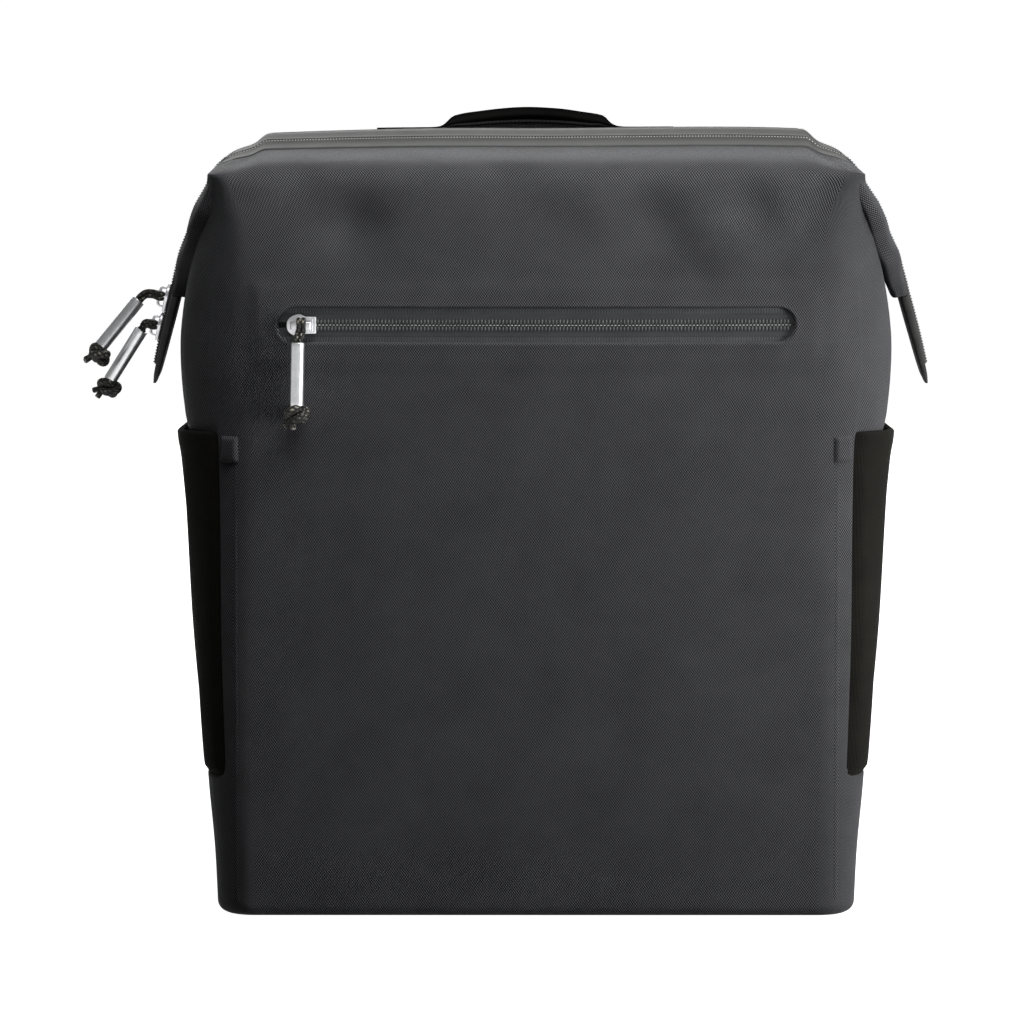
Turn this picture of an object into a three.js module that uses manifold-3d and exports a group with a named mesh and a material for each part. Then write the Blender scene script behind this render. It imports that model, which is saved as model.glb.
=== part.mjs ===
// A soft insulated backpack that stands on its flat base. Its top closes with one long zip, and the
// two ends of that top are folded down over the sides as ears. Millimetres, +Z up, +Y towards the
// back that is worn, and the origin at the middle of the base.
import * as THREE from "three";
import { mergeVertices } from "three/addons/utils/BufferGeometryUtils.js";
import Module from "manifold-3d";

const wasm = await Module();
wasm.setup();

// Body
const bodyWidth = 337.2; // at its widest, above the side pockets
const bodyDepth = 184; // at its deepest, near the base
const cornerHeight = 346; // the four top corners
const ridgeRise = 16.8; // from the corners up to the ridge of the top
const cornerRadius = 32; // the upright corners, at their roundest
const sideCrown = 6; // how far the middle of a side stands out past its corners
const frontCrown = 6; // the same for the front
const backCrown = 2.5; // the same for the back
const baseEdgeRadius = 5;
const wallThickness = 13; // fabric, foam and liner together
const baseThickness = 16;
const lidThickness = 9;
const mouthWidth = 8; // the gap that the top zip closes
const mouthLength = 270;
const gap = 0.3; // between pieces that touch
const cutAbove = 6; // how far the cut for a zip reaches out of the surface

// Top ears
const earDrop = 60;
const leftEarReach = 22.3; // the left ear hangs closer in
const rightEarReach = 26;
const earSpread = 80; // half the length of the fold that an ear hangs from
const earThickness = 10.5;
const earEdge = 3.2;
const earFoldInset = 1; // the fold lies this far inside the corner

// Top zip and its end tabs
const tapeHalfWidth = 17;
const tapeThickness = 1.4;
const chainHalfWidth = 3;
const chainRise = 0.7;
const tapeTaper = 0.36; // the share of its width that the tape loses down an ear
const tabDrop = 43;
const leftTabReach = 9.4;
const rightTabReach = 10.3;
const tabHalfWidth = 15;
const tabThickness = 5;
const zipEndAlongTab = 0.78; // where the zip stops, as a share of the tab

// Front zip
const frontZipLength = 240.2;
const frontZipHeight = 16.3;
const frontZipCentre = 276.8; // above the base
const frontZipRecess = 2.4;
const frontTapeThickness = 1.6;
const frontPlainEnd = 7; // the tape past each end of the chain

// Sliders and their pulls
const sliderLength = 13.6;
const sliderWidth = 10.2;
const sliderPlate = 1.5;
const sliderTail = 0.38; // half its width at the tail, as a share of its width
const sliderNose = 0.34; // the same beside the nose
const sliderShoulder = 0.2; // where its straight sides end, as a share of its length
const bridgeLength = 10.1;
const bridgeWidth = 3.6;
const bridgeRise = 3.5;
const bridgeBar = 1.2;
const bridgeRoot = 0.4; // how far it is let into the plate
const bridgeSlope = 1.4; // how far its rounded shoulders run along it
const frontSliderAt = -108.7; // from the middle of the front zip
const wingSliderDrops = [63.2, 76.9]; // below the top corners, down the left wing
const pullDiameter = 6.5;
const pullLength = 29.4;
const cordDiameter = 4.4; // the two legs of the cord side by side
const knotDiameter = 11.4;
const knotFlatness = 0.85;

// Side pockets
const pocketBottom = 65;
const pocketFrontHeight = 225; // the rim at its front end
const pocketRimFall = 5; // from there down to the back
const pocketFrontTurn = 35; // degrees round the upright corner, where its front edge is joined
const pocketWall = 1.2;
const pocketHem = 2.6;
const pocketFlare = 2.6; // how far the rim stands off the side
const pocketRoom = 7; // how far the side is hollowed behind the pocket
const pocketTabWidth = 8.5;
const pocketTabHeight = 12.3;
const pocketTabThickness = 2.6;

// Handle, straps and their fittings, on the back
const handleSpan = 120;
const handleCentre = -5;
const handleTop = 371.5;
const handleHalfWidth = 12;
const handleThickness = 7;
const handleFromBack = 14; // from the middle of its feet to the back of the top
const handleLean = 17; // how far its middle leans back past its feet
const handleTilt = 22; // degrees that its back edge hangs lower, at its middle
const handleEdge = 1.8;
const roofFacet = 0.8; // how far the top's flat facets lie under its curve at the handle's feet
const yokeHalfWidth = 84;
const yokeHeight = 30;
const yokeCentre = 318;
const yokeThickness = 4;
const strapWidth = 60;
const strapThickness = 10;
const strapTopAt = 46; // from the middle of the back
const strapBottomAt = 88;
const strapTop = 322;
const strapBottom = 152;
const strapBow = 30; // how far a strap stands off the back
const strapEdge = 2.6;
const webbingWidth = 25;
const webbingThickness = 1.8;
const webbingSag = 3; // how far it bows towards the back
const lockHeight = 22;
const lockWidth = 33;
const lockThickness = 4.4;
const lockBar = 3.4;
const lockCorner = 2;
const anchorAt = 0.344; // from the middle of the back, as a share of bodyWidth
const anchorHeight = 44;
const anchorLength = 34;
const anchorThickness = 3.4;
const anchorHalfWidth = 15.5;

// The body from the base up: height as a share of cornerHeight, width and depth as shares of
// bodyWidth and bodyDepth, corner as a share of cornerRadius, and crown as a share of the crowns.
const bodySections = [
  { height: 0, width: 0.8865, depth: 0.985, corner: 0.56, crown: 0 },
  { height: 0.087, width: 0.8985, depth: 0.996, corner: 0.6, crown: 0.15 },
  { height: 0.1734, width: 0.918, depth: 1, corner: 0.66, crown: 0.3 },
  { height: 0.364, width: 0.9525, depth: 0.995, corner: 0.8, crown: 0.65 },
  { height: 0.53, width: 0.9705, depth: 0.982, corner: 0.92, crown: 0.85 },
  { height: 0.6416, width: 0.984, depth: 0.968, corner: 1, crown: 0.95 },
  { height: 0.7225, width: 0.9995, depth: 0.955, corner: 1, crown: 1 },
  { height: 0.7803, width: 1, depth: 0.94, corner: 1, crown: 1 },
  { height: 0.8555, width: 0.9768, depth: 0.918, corner: 0.88, crown: 0.8 },
  { height: 0.919, width: 0.9408, depth: 0.895, corner: 0.7, crown: 0.5 },
  { height: 0.968, width: 0.9171, depth: 0.88, corner: 0.48, crown: 0.2 },
  { height: 1, width: 0.9041, depth: 0.87, corner: 0.26, crown: 0 },
];

// The top from front to back at its middle: from as a share of the top's half depth, rise of ridgeRise.
const roofProfile = [
  { from: -1, rise: 0 },
  { from: -0.925, rise: 0.27 },
  { from: -0.75, rise: 0.42 },
  { from: -0.2125, rise: 0.577 },
  { from: 0, rise: 0.774 },
  { from: 0.25, rise: 1 },
  { from: 0.5625, rise: 0.893 },
  { from: 0.875, rise: 0.536 },
  { from: 1, rise: 0 },
];

// How the top falls away at its ends: out as a share of the top's half width.
const roofEnds = [
  { out: 0, rise: 1 },
  { out: 0.838, rise: 1 },
  { out: 0.886, rise: 0.66 },
  { out: 0.948, rise: 0.42 },
  { out: 0.985, rise: 0.16 },
  { out: 1, rise: 0 },
];

// Dents pressed into the upper front: across and spread as shares of bodyWidth, up and tall as
// shares of cornerHeight, tilt in degrees, and depth in millimetres.
const frontDents = [
  { across: -0.258, up: 0.931, spread: 0.05, tall: 0.052, tilt: 0, depth: 4 },
  { across: -0.325, up: 1.0, spread: 0.03, tall: 0.02, tilt: 0, depth: 2 },
  { across: -0.044, up: 1.0, spread: 0.03, tall: 0.02, tilt: 0, depth: 2 },
  { across: 0.174, up: 0.948, spread: 0.03, tall: 0.085, tilt: -52, depth: 3 },
  { across: 0.287, up: 0.976, spread: 0.035, tall: 0.03, tilt: 0, depth: 2.6 },
  { across: 0.398, up: 0.965, spread: 0.02, tall: 0.05, tilt: -38, depth: 2.4 },
];

// The outer line of an ear from its fold down: drop of earDrop, out of its reach, spread of earSpread.
const earSections = [
  { drop: 0, out: 0, spread: 0.96 },
  { drop: 0.19, out: 0.32, spread: 0.92 },
  { drop: 0.29, out: 0.5, spread: 0.88 },
  { drop: 0.42, out: 0.632, spread: 0.8 },
  { drop: 0.52, out: 0.67, spread: 0.71 },
  { drop: 0.68, out: 0.8, spread: 0.54 },
  { drop: 0.9, out: 0.942, spread: 0.29 },
  { drop: 1, out: 1, spread: 0.22 },
];

// The outer line of an end tab below its ear: drop of tabDrop, out of its reach, width of
// tabHalfWidth, thick of tabThickness.
const tabSections = [
  { drop: 0, out: 0, width: 1, thick: 1 },
  { drop: 0.2, out: 0.24, width: 1, thick: 1 },
  { drop: 0.5, out: 0.57, width: 0.95, thick: 0.92 },
  { drop: 0.88, out: 0.94, width: 0.82, thick: 0.66 },
  { drop: 1, out: 1, width: 0.55, thick: 0.3 },
];

// A shoulder strap from its top down: down and out as shares of the way to its lower end, bow as a
// share of strapBow, width of strapWidth, thick of strapThickness.
const strapSections = [
  { down: 0, out: 0, bow: 0, width: 0.82, thick: 0.5 },
  { down: 0.06, out: 0, bow: 0.22, width: 0.94, thick: 0.9 },
  { down: 0.18, out: 0.04, bow: 0.6, width: 1, thick: 1 },
  { down: 0.36, out: 0.16, bow: 0.92, width: 1, thick: 1 },
  { down: 0.56, out: 0.42, bow: 1, width: 1, thick: 1 },
  { down: 0.76, out: 0.72, bow: 0.9, width: 0.96, thick: 1 },
  { down: 0.92, out: 0.94, bow: 0.7, width: 0.8, thick: 0.9 },
  { down: 1, out: 1, bow: 0.6, width: 0.5, thick: 0.5 },
];

// The handle from one foot to its middle: along as a share of half its span, rise of its height,
// and thick of handleThickness.
const handleSections = [
  { along: -1.23, rise: 0, thick: 0.4 },
  { along: -1, rise: 0, thick: 0.5 },
  { along: -0.92, rise: 0.1, thick: 0.75 },
  { along: -0.8, rise: 0.4, thick: 1 },
  { along: -0.6, rise: 0.68, thick: 1 },
  { along: -0.38, rise: 0.88, thick: 1 },
  { along: -0.14, rise: 0.985, thick: 1 },
];

// The three pulls: the free route of each cord from the slider's bridge, where its tube starts, and
// a place that the tube points at.
const pulls = [
  {
    name: "front",
    route: [
      [-109, -88.3, 274.5],
      [-109.4, -89.3, 272.9],
      [-109.8, -90.4, 271.2],
    ],
    tubeTop: [-110.1, -90.9, 269.4],
    towards: [-110.7, -92, 240],
  },
  {
    name: "upper_wing",
    route: [
      [-180.8, 0, 284.3],
      [-183, 0, 284.9],
      [-186, -0.8, 285],
      [-188.2, -1.5, 283.6],
    ],
    tubeTop: [-189.6, -1.9, 282],
    towards: [-208.3, -6.4, 259.3],
  },
  {
    name: "lower_wing",
    route: [
      [-184.4, 0, 270.5],
      [-186, 0.1, 270.8],
      [-187.6, 0.7, 269.7],
    ],
    tubeTop: [-188.4, 1.1, 267.8],
    towards: [-204.1, 4.4, 243],
  },
];

// Where the skins have their corners: columns along each side of the plan, turns in degrees round
// an upright corner from the front or the back, and levels as shares of the way up.
const bodyColumns = { front: 22, side: 7, back: 10, turns: [0, 18, pocketFrontTurn, 53, 71, 90] };
const liningColumns = { front: 8, side: 4, back: 8, turns: [0, 30, 60, 90] };
const fineColumns = { front: 60, side: 30, back: 10, turns: [0, 10, 20, 30, 40, 50, 60, 70, 80, 90] };
const roofSteps = [0.07, 0.25, 0.5, 0.72, 0.88];
const liningLevels = [0.2, 0.45, 0.64, 0.78, 0.88, 0.95];
const levelsBelowPocket = [0.3, 0.6];
const levelsBesidePocket = [0, 0.16, 0.34, 0.52, 0.7, 0.86, 1];
const levelsAbovePocket = [0.07, 0.17, 0.28, 0.4, 0.5, 0.59, 0.67, 0.74, 0.81, 0.88, 0.94, 1];

// Materials
const fabric = material(0x3a3b3d, 0.72, 0);
const pocketFabric = material(0x1b1b1b, 0.85, 0);
const zipPlastic = material(0x2f3132, 0.45, 0);
const blackPlastic = material(0x121212, 0.5, 0);
const webbingFabric = material(0x161616, 0.8, 0);
const sliderMetal = material(0xc8cacc, 0.3, 1);
const pullMetal = material(0xb9bcbf, 0.35, 1);
const cordFabric = material(0x20201e, 0.9, 0);

function material(color, roughness, metalness) {
  return new THREE.MeshStandardMaterial({ color, roughness, metalness });
}

function point(x, y, z) {
  return new THREE.Vector3(x, y, z);
}

// The value of one column of a table at a place between its rows, on a smooth curve.
function between(rows, place, at, column) {
  const last = rows.length - 1;
  if (at <= rows[0][place]) return rows[0][column];
  if (at >= rows[last][place]) return rows[last][column];
  const i = rows.findIndex((row) => row[place] > at) - 1;
  const span = rows[i + 1][place] - rows[i][place];
  const share = (at - rows[i][place]) / span;
  const slope = (j) => {
    const low = rows[Math.max(j - 1, 0)];
    const high = rows[Math.min(j + 1, last)];
    return ((high[column] - low[column]) / (high[place] - low[place])) * span;
  };
  const bend = share * share * (3 - 2 * share);
  const level = rows[i][column] * (1 - bend) + rows[i + 1][column] * bend;
  return (
    level + slope(i) * share * (1 - share) * (1 - share) - slope(i + 1) * share * share * (1 - share)
  );
}

function smooth(low, high, at) {
  return THREE.MathUtils.smoothstep(at, low, high);
}

// A closed geometry of points and triangles, turned so that its faces look out.
function closed(points, triangles) {
  const geometry = new THREE.BufferGeometry();
  geometry.setAttribute(
    "position",
    new THREE.Float32BufferAttribute(points.flatMap((p) => p.toArray()), 3),
  );
  const volume = triangles.reduce(
    (sum, [a, b, c]) => sum + points[a].dot(point(0, 0, 0).crossVectors(points[b], points[c])),
    0,
  );
  const outward = volume < 0 ? triangles.map(([a, b, c]) => [a, c, b]) : triangles;
  geometry.setIndex(outward.flat());
  return geometry;
}

// Joins rings of as many points each into one closed skin, flat at both ends.
function loft(rings) {
  const count = rings[0].length;
  const points = rings.flat();
  const triangles = [];
  for (let ring = 0; ring < rings.length - 1; ring++) {
    for (let i = 0; i < count; i++) {
      const a = ring * count + i;
      const b = ring * count + ((i + 1) % count);
      triangles.push([a, b, b + count], [a, b + count, a + count]);
    }
  }
  const first = capOf(rings[0]).map(([a, b, c]) => [a, c, b]);
  const offset = (rings.length - 1) * count;
  const last = capOf(rings[rings.length - 1]).map((triangle) => triangle.map((i) => i + offset));
  return closed(points, [...triangles, ...first, ...last]);
}

// Triangles over a ring, seen along the ring's own normal, and wound as the ring is.
function capOf(ring) {
  const normal = point(0, 0, 0);
  ring.forEach((p, i) => normal.add(point(0, 0, 0).crossVectors(p, ring[(i + 1) % ring.length])));
  const turn = new THREE.Quaternion().setFromUnitVectors(normal.normalize(), point(0, 0, 1));
  const flat = ring.map((p) => {
    const turned = p.clone().applyQuaternion(turn);
    return new THREE.Vector2(turned.x, turned.y);
  });
  return THREE.ShapeUtils.triangulateShape(flat, []);
}

// A strip with softened edges that follows stations, each with a place, the way across it, the
// way out of its face, and its half width and half thickness there.
function band(stations, edge) {
  return loft(
    stations.map(({ at, across, out, halfWidth, halfThickness }) => {
      const wide = Math.min(edge, halfThickness * 0.8, halfWidth * 0.8);
      const corners = [
        [halfWidth, -(halfThickness - wide)],
        [halfWidth, halfThickness - wide],
        [halfWidth - wide, halfThickness],
        [-(halfWidth - wide), halfThickness],
        [-halfWidth, halfThickness - wide],
        [-halfWidth, -(halfThickness - wide)],
        [-(halfWidth - wide), -halfThickness],
        [halfWidth - wide, -halfThickness],
      ];
      return corners.map(([a, b]) => at.clone().addScaledVector(across, a).addScaledVector(out, b));
    }),
  );
}

// A closed sheet between two grids of points, the near one and the far one.
function sheet(near, far) {
  const rows = near.length;
  const columns = near[0].length;
  const points = [...near.flat(), ...far.flat()];
  const half = rows * columns;
  const triangles = [];
  const quad = (a, b, c, d) => triangles.push([a, b, c], [a, c, d]);
  for (let row = 0; row < rows - 1; row++) {
    for (let column = 0; column < columns - 1; column++) {
      const a = row * columns + column;
      quad(a, a + 1, a + 1 + columns, a + columns);
      quad(half + a, half + a + columns, half + a + 1 + columns, half + a + 1);
    }
  }
  const rim = [];
  for (let column = 0; column < columns - 1; column++) rim.push(column);
  for (let row = 0; row < rows - 1; row++) rim.push(row * columns + columns - 1);
  for (let column = columns - 1; column > 0; column--) rim.push((rows - 1) * columns + column);
  for (let row = rows - 1; row > 0; row--) rim.push(row * columns);
  rim.forEach((a, i) => {
    const b = rim[(i + 1) % rim.length];
    quad(b, a, half + a, half + b);
  });
  return closed(points, triangles);
}

// A geometry as a solid for joining and cutting, and such a solid as a geometry again.
function solid(geometry) {
  const bare = geometry.clone();
  bare.deleteAttribute("normal");
  bare.deleteAttribute("uv");
  const merged = mergeVertices(bare, 1e-4);
  return new wasm.Manifold(
    new wasm.Mesh({
      numProp: 3,
      vertProperties: merged.attributes.position.array,
      triVerts: new Uint32Array(merged.index.array),
    }),
  );
}

function geometryOf(made) {
  const { vertProperties, triVerts } = made.getMesh();
  const geometry = new THREE.BufferGeometry();
  geometry.setAttribute("position", new THREE.BufferAttribute(vertProperties, 3));
  geometry.setIndex(new THREE.BufferAttribute(triVerts, 1));
  return geometry;
}

// The plan of the body at a height, as half sizes.
function sectionAt(height) {
  const at = height / cornerHeight;
  const take = (column) => between(bodySections, "height", at, column);
  return {
    halfWidth: (take("width") * bodyWidth) / 2,
    halfDepth: (take("depth") * bodyDepth) / 2,
    corner: take("corner") * cornerRadius,
    crown: take("crown"),
  };
}

// How far the side is hollowed behind its pocket: along is the place on it, from -1 to 1.
function hollowAt(along, height) {
  const up = smooth(pocketBottom, pocketBottom + 4 * pocketRoom, height);
  const down = 1 - smooth(pocketFrontHeight, pocketFrontHeight + 2 * pocketRoom, height);
  return pocketRoom * up * down * (1 - smooth(0.6, 1, Math.abs(along)));
}

// How far the front is dented at a place on it.
function dentAt(x, height) {
  return frontDents.reduce((sum, dent) => {
    const turn = THREE.MathUtils.degToRad(dent.tilt);
    const dx = x - dent.across * bodyWidth;
    const dz = height - dent.up * cornerHeight;
    const along = dx * Math.cos(turn) + dz * Math.sin(turn);
    const up = dz * Math.cos(turn) - dx * Math.sin(turn);
    const reach = (along / (dent.spread * bodyWidth)) ** 2 + (up / (dent.tall * cornerHeight)) ** 2;
    return sum + dent.depth * Math.exp(-reach);
  }, 0);
}

// The body's outline at a height, anticlockwise from above and starting at the front right corner.
// inset draws it in, and hollowed says whether the sides are hollowed behind the pockets.
function planRing(height, columns, { inset = 0, hollowed = false, dented = false } = {}) {
  const section = sectionAt(height);
  const halfWidth = section.halfWidth - inset;
  const halfDepth = section.halfDepth - inset;
  const corner = Math.max(section.corner - inset, 3);
  const straight = { x: halfWidth - corner, y: halfDepth - corner };
  const towardsSide = columns.turns;
  const awayFromSide = [...towardsSide].reverse().map((turn) => 90 - turn);
  const corners = [
    { x: 1, y: -1, from: -90, turns: towardsSide, next: columns.side },
    { x: 1, y: 1, from: 0, turns: awayFromSide, next: columns.back },
    { x: -1, y: 1, from: 90, turns: towardsSide, next: columns.side },
    { x: -1, y: -1, from: 180, turns: awayFromSide, next: columns.front },
  ];
  const flat = [];
  corners.forEach(({ x, y, from, turns, next }, number) => {
    for (const turned of turns) {
      const angle = THREE.MathUtils.degToRad(from + turned);
      flat.push([x * straight.x + corner * Math.cos(angle), y * straight.y + corner * Math.sin(angle)]);
    }
    const after = corners[(number + 1) % 4];
    const turn = THREE.MathUtils.degToRad(after.from);
    const end = [
      after.x * straight.x + corner * Math.cos(turn),
      after.y * straight.y + corner * Math.sin(turn),
    ];
    const start = flat[flat.length - 1];
    for (let i = 1; i < next; i++) {
      const share = i / next;
      flat.push([start[0] + (end[0] - start[0]) * share, start[1] + (end[1] - start[1]) * share]);
    }
  });
  return flat.map(([x, y]) => {
    const crown = (y < 0 ? frontCrown : backCrown) * section.crown;
    const outX = x * (1 - (sideCrown * section.crown * (y / halfDepth) ** 2) / halfWidth);
    const outY = y * (1 - (crown * (x / halfWidth) ** 2) / halfDepth);
    const onSide = smooth(straight.x, halfWidth, Math.abs(x));
    const hollow = hollowed ? hollowAt(y / straight.y, height) * onSide : 0;
    const onFront = smooth(0, straight.y, -y);
    const dent = dented ? dentAt(x, height) * onFront : 0;
    return point(outX - Math.sign(x) * hollow, outY + dent, height);
  });
}

// The middle of the front, and the back, at a place across and a height.
function frontAt(x, height) {
  const { halfWidth, halfDepth, crown } = sectionAt(height);
  const across = x / (1 - (sideCrown * crown) / halfWidth);
  return -halfDepth + frontCrown * crown * (across / halfWidth) ** 2 + dentAt(across, height);
}

function backAt(x, height) {
  const { halfWidth, halfDepth, crown } = sectionAt(height);
  return halfDepth - backCrown * crown * (x / halfWidth) ** 2;
}

// The height of the top above a place on the plan.
function roofAt(x, y) {
  const { halfWidth, halfDepth } = sectionAt(cornerHeight);
  const rise = between(roofProfile, "from", y / halfDepth, "rise");
  const end = between(roofEnds, "out", Math.abs(x) / halfWidth, "rise");
  return cornerHeight + ridgeRise * rise * end;
}

// The rings of the top, drawn in towards its middle line. sunk lowers them.
function roofRings(rim, sunk) {
  const { halfWidth } = sectionAt(cornerHeight);
  const ridge = roofEnds[1].out;
  return roofSteps.map((step) =>
    rim.map((p) => {
      const x = p.x * (1 - step * (1 - ridge) * Math.abs(p.x / halfWidth));
      const y = p.y * (1 - step);
      return point(x, y, roofAt(x, y) - sunk);
    }),
  );
}

function bodyLevels() {
  const pocketHeight = pocketFrontHeight - pocketBottom;
  const aboveHeight = cornerHeight - pocketFrontHeight;
  return [
    ...levelsBelowPocket.map((share) => share * pocketBottom),
    ...levelsBesidePocket.map((share) => pocketBottom + share * pocketHeight),
    ...levelsAbovePocket.map((share) => pocketFrontHeight + share * aboveHeight),
  ];
}

function bodySkin() {
  const look = { hollowed: true, dented: true };
  const baseRings = [90, 45, 0].map((angle) => {
    const turn = THREE.MathUtils.degToRad(angle);
    const height = baseEdgeRadius * (1 - Math.sin(turn));
    const drawn = baseEdgeRadius * (1 - Math.cos(turn));
    return planRing(height, bodyColumns, { ...look, inset: drawn });
  });
  const wallRings = bodyLevels().map((height) => planRing(height, bodyColumns, look));
  return loft([...baseRings, ...wallRings, ...roofRings(wallRings[wallRings.length - 1], 0)]);
}

function bodyHollow() {
  const heights = [baseThickness, ...liningLevels.map((share) => share * cornerHeight)];
  const rings = heights.map((height) => planRing(height, liningColumns, { inset: wallThickness }));
  return loft([...rings, ...roofRings(rings[rings.length - 1], lidThickness)]);
}

// The outer line of a wing, down its ear and then its tab: the place, the way down and the way out.
function wingLine(side) {
  const hinge = (sectionAt(cornerHeight).halfWidth - earFoldInset) * side;
  const earReach = side < 0 ? leftEarReach : rightEarReach;
  const tabReach = side < 0 ? leftTabReach : rightTabReach;
  const earRows = earSections.map((row) => ({
    ...row,
    x: hinge + side * row.out * earReach,
    z: cornerHeight - row.drop * earDrop,
  }));
  const tabRows = tabSections.map((row) => ({
    ...row,
    x: hinge + side * (earReach + row.out * tabReach),
    z: cornerHeight - earDrop - row.drop * tabDrop,
  }));
  const all = [...earRows, ...tabRows.slice(1)];
  all.forEach((row, i) => {
    const before = all[Math.max(i - 1, 0)];
    const after = all[Math.min(i + 1, all.length - 1)];
    row.down = point(after.x - before.x, 0, after.z - before.z).normalize();
    row.outward = point(-row.down.z * side, 0, row.down.x * side);
  });
  return all;
}

const acrossWing = point(0, 1, 0);

// A place on a wing's outer line at a height, with the way out there.
function wingAt(side, height) {
  const rows = wingLine(side);
  const i = Math.min(Math.max(rows.findIndex((row) => row.z < height), 1), rows.length - 1);
  const share = (rows[i - 1].z - height) / (rows[i - 1].z - rows[i].z);
  const x = rows[i - 1].x + (rows[i].x - rows[i - 1].x) * share;
  const outward = rows[i - 1].outward.clone().lerp(rows[i].outward, share).normalize();
  return { at: point(x, 0, height), outward };
}

function ear(side) {
  const rows = wingLine(side).slice(0, earSections.length);
  return band(
    rows.map((row) => ({
      at: point(row.x, 0, row.z).addScaledVector(row.outward, -earThickness / 2),
      across: acrossWing,
      out: row.outward,
      halfWidth: row.spread * earSpread,
      halfThickness: earThickness / 2,
    })),
    earEdge,
  );
}

// The way of the top zip from the left tab over the top to the right tab. Each place lies on the
// outer surface of what carries the zip.
function zipLine() {
  const wing = (side) => {
    const end = cornerHeight - earDrop - zipEndAlongTab * tabDrop;
    const rows = wingLine(side).filter((row) => row.z > end + 3);
    const last = wingAt(side, end);
    return [...rows.map((row) => ({ at: point(row.x, 0, row.z), out: row.outward })), {
      at: last.at,
      out: last.outward,
    }];
  };
  const { halfWidth } = sectionAt(cornerHeight);
  const across = [0.97, 0.93, 0.88, 0.82, 0.7, 0.5, 0.25];
  const places = [...across.map((share) => -share), 0, ...[...across].reverse()];
  const top = places.map((share) => {
    const x = share * halfWidth;
    const low = point(x, -tapeHalfWidth, roofAt(x, -tapeHalfWidth));
    const high = point(x, tapeHalfWidth, roofAt(x, tapeHalfWidth));
    const along = point(1, 0, (roofAt(x + 1, 0) - roofAt(x - 1, 0)) / 2);
    const tilt = high.sub(low).normalize();
    return { at: point(x, 0, roofAt(x, 0)), out: along.cross(tilt).normalize(), across: tilt };
  });
  return [...wing(-1).reverse(), ...top, ...wing(1)].map((place) => ({
    across: acrossWing,
    ...place,
    halfWidth: tapeHalfWidth * taperAt(place.at.z),
  }));
}

// The tape of the top zip narrows down the ears, to stay inside them and their tabs.
function taperAt(height) {
  const tabTop = cornerHeight - earDrop;
  return 1 - tapeTaper * (1 - smooth(tabTop, cornerHeight, height));
}

// A strip between two depths below the zip's own surface.
function zipStrip(low, high, wider) {
  return band(
    zipLine().map((place) => ({
      ...place,
      at: place.at.clone().addScaledVector(place.out, -(low + high) / 2),
      halfWidth: wider(place.halfWidth),
      halfThickness: Math.abs(high - low) / 2,
    })),
    0.25,
  );
}

function topZip() {
  const tape = solid(zipStrip(0.05, tapeThickness, (half) => half));
  const chain = solid(zipStrip(-chainRise, tapeThickness - gap, () => chainHalfWidth));
  return geometryOf(tape.add(chain));
}

function topZipChannel() {
  return zipStrip(-cutAbove, tapeThickness + gap, (half) => half + gap);
}

// A stadium on the front, as a strip between two depths below the front's surface.
function frontStrip(length, height, low, high) {
  const radius = height / 2;
  const straight = length / 2 - radius;
  const turns = [4, 14, 34, 60, 90];
  const ends = turns.map((angle) => {
    const turn = THREE.MathUtils.degToRad(angle);
    return { x: straight + radius * Math.cos(turn), half: radius * Math.sin(turn) };
  });
  const middle = [0.8, 0.6, 0.4, 0.2, 0].map((share) => ({ x: share * straight, half: radius }));
  const right = [...ends, ...middle];
  const left = right.slice(0, -1).map(({ x, half }) => ({ x: -x, half }));
  const places = [...left, ...[...right].reverse()];
  return band(
    places.map(({ x, half }) => ({
      at: point(x, frontAt(x, frontZipCentre) + (low + high) / 2, frontZipCentre),
      across: point(0, 0, 1),
      out: point(0, -1, 0),
      halfWidth: half,
      halfThickness: (high - low) / 2,
    })),
    0.2,
  );
}

function frontZip() {
  const length = frontZipLength - 2 * gap;
  const chainLength = length - 2 * frontPlainEnd;
  const face = frontZipRecess - frontTapeThickness;
  const tape = solid(frontStrip(length, frontZipHeight - 2 * gap, face, frontZipRecess));
  const chain = solid(frontStrip(chainLength, 2 * chainHalfWidth, face - chainRise, frontZipRecess - gap));
  return geometryOf(tape.add(chain));
}

function bodyShell() {
  const mouth = new THREE.BoxGeometry(mouthLength, mouthWidth, 4 * lidThickness);
  mouth.translate(0, 0, cornerHeight + ridgeRise / 2);
  const recess = frontStrip(frontZipLength, frontZipHeight, -cutAbove, frontZipRecess + gap);
  const shell = solid(bodySkin())
    .add(solid(ear(-1)))
    .add(solid(ear(1)))
    .subtract(solid(bodyHollow()))
    .subtract(solid(mouth))
    .subtract(solid(recess))
    .subtract(solid(topZipChannel()));
  return geometryOf(shell);
}

function zipEndTab(side) {
  const rows = wingLine(side).slice(earSections.length - 1);
  const first = { ...rows[0], width: 1, thick: 1 };
  first.x += first.down.x * gap;
  first.z += first.down.z * gap;
  const body = band(
    [first, ...rows.slice(1)].map((row) => ({
      at: point(row.x, 0, row.z).addScaledVector(row.outward, (-row.thick * tabThickness) / 2),
      across: acrossWing,
      out: row.outward,
      halfWidth: row.width * tabHalfWidth,
      halfThickness: (row.thick * tabThickness) / 2,
    })),
    1,
  );
  return geometryOf(solid(body).subtract(solid(topZipChannel())));
}

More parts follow.
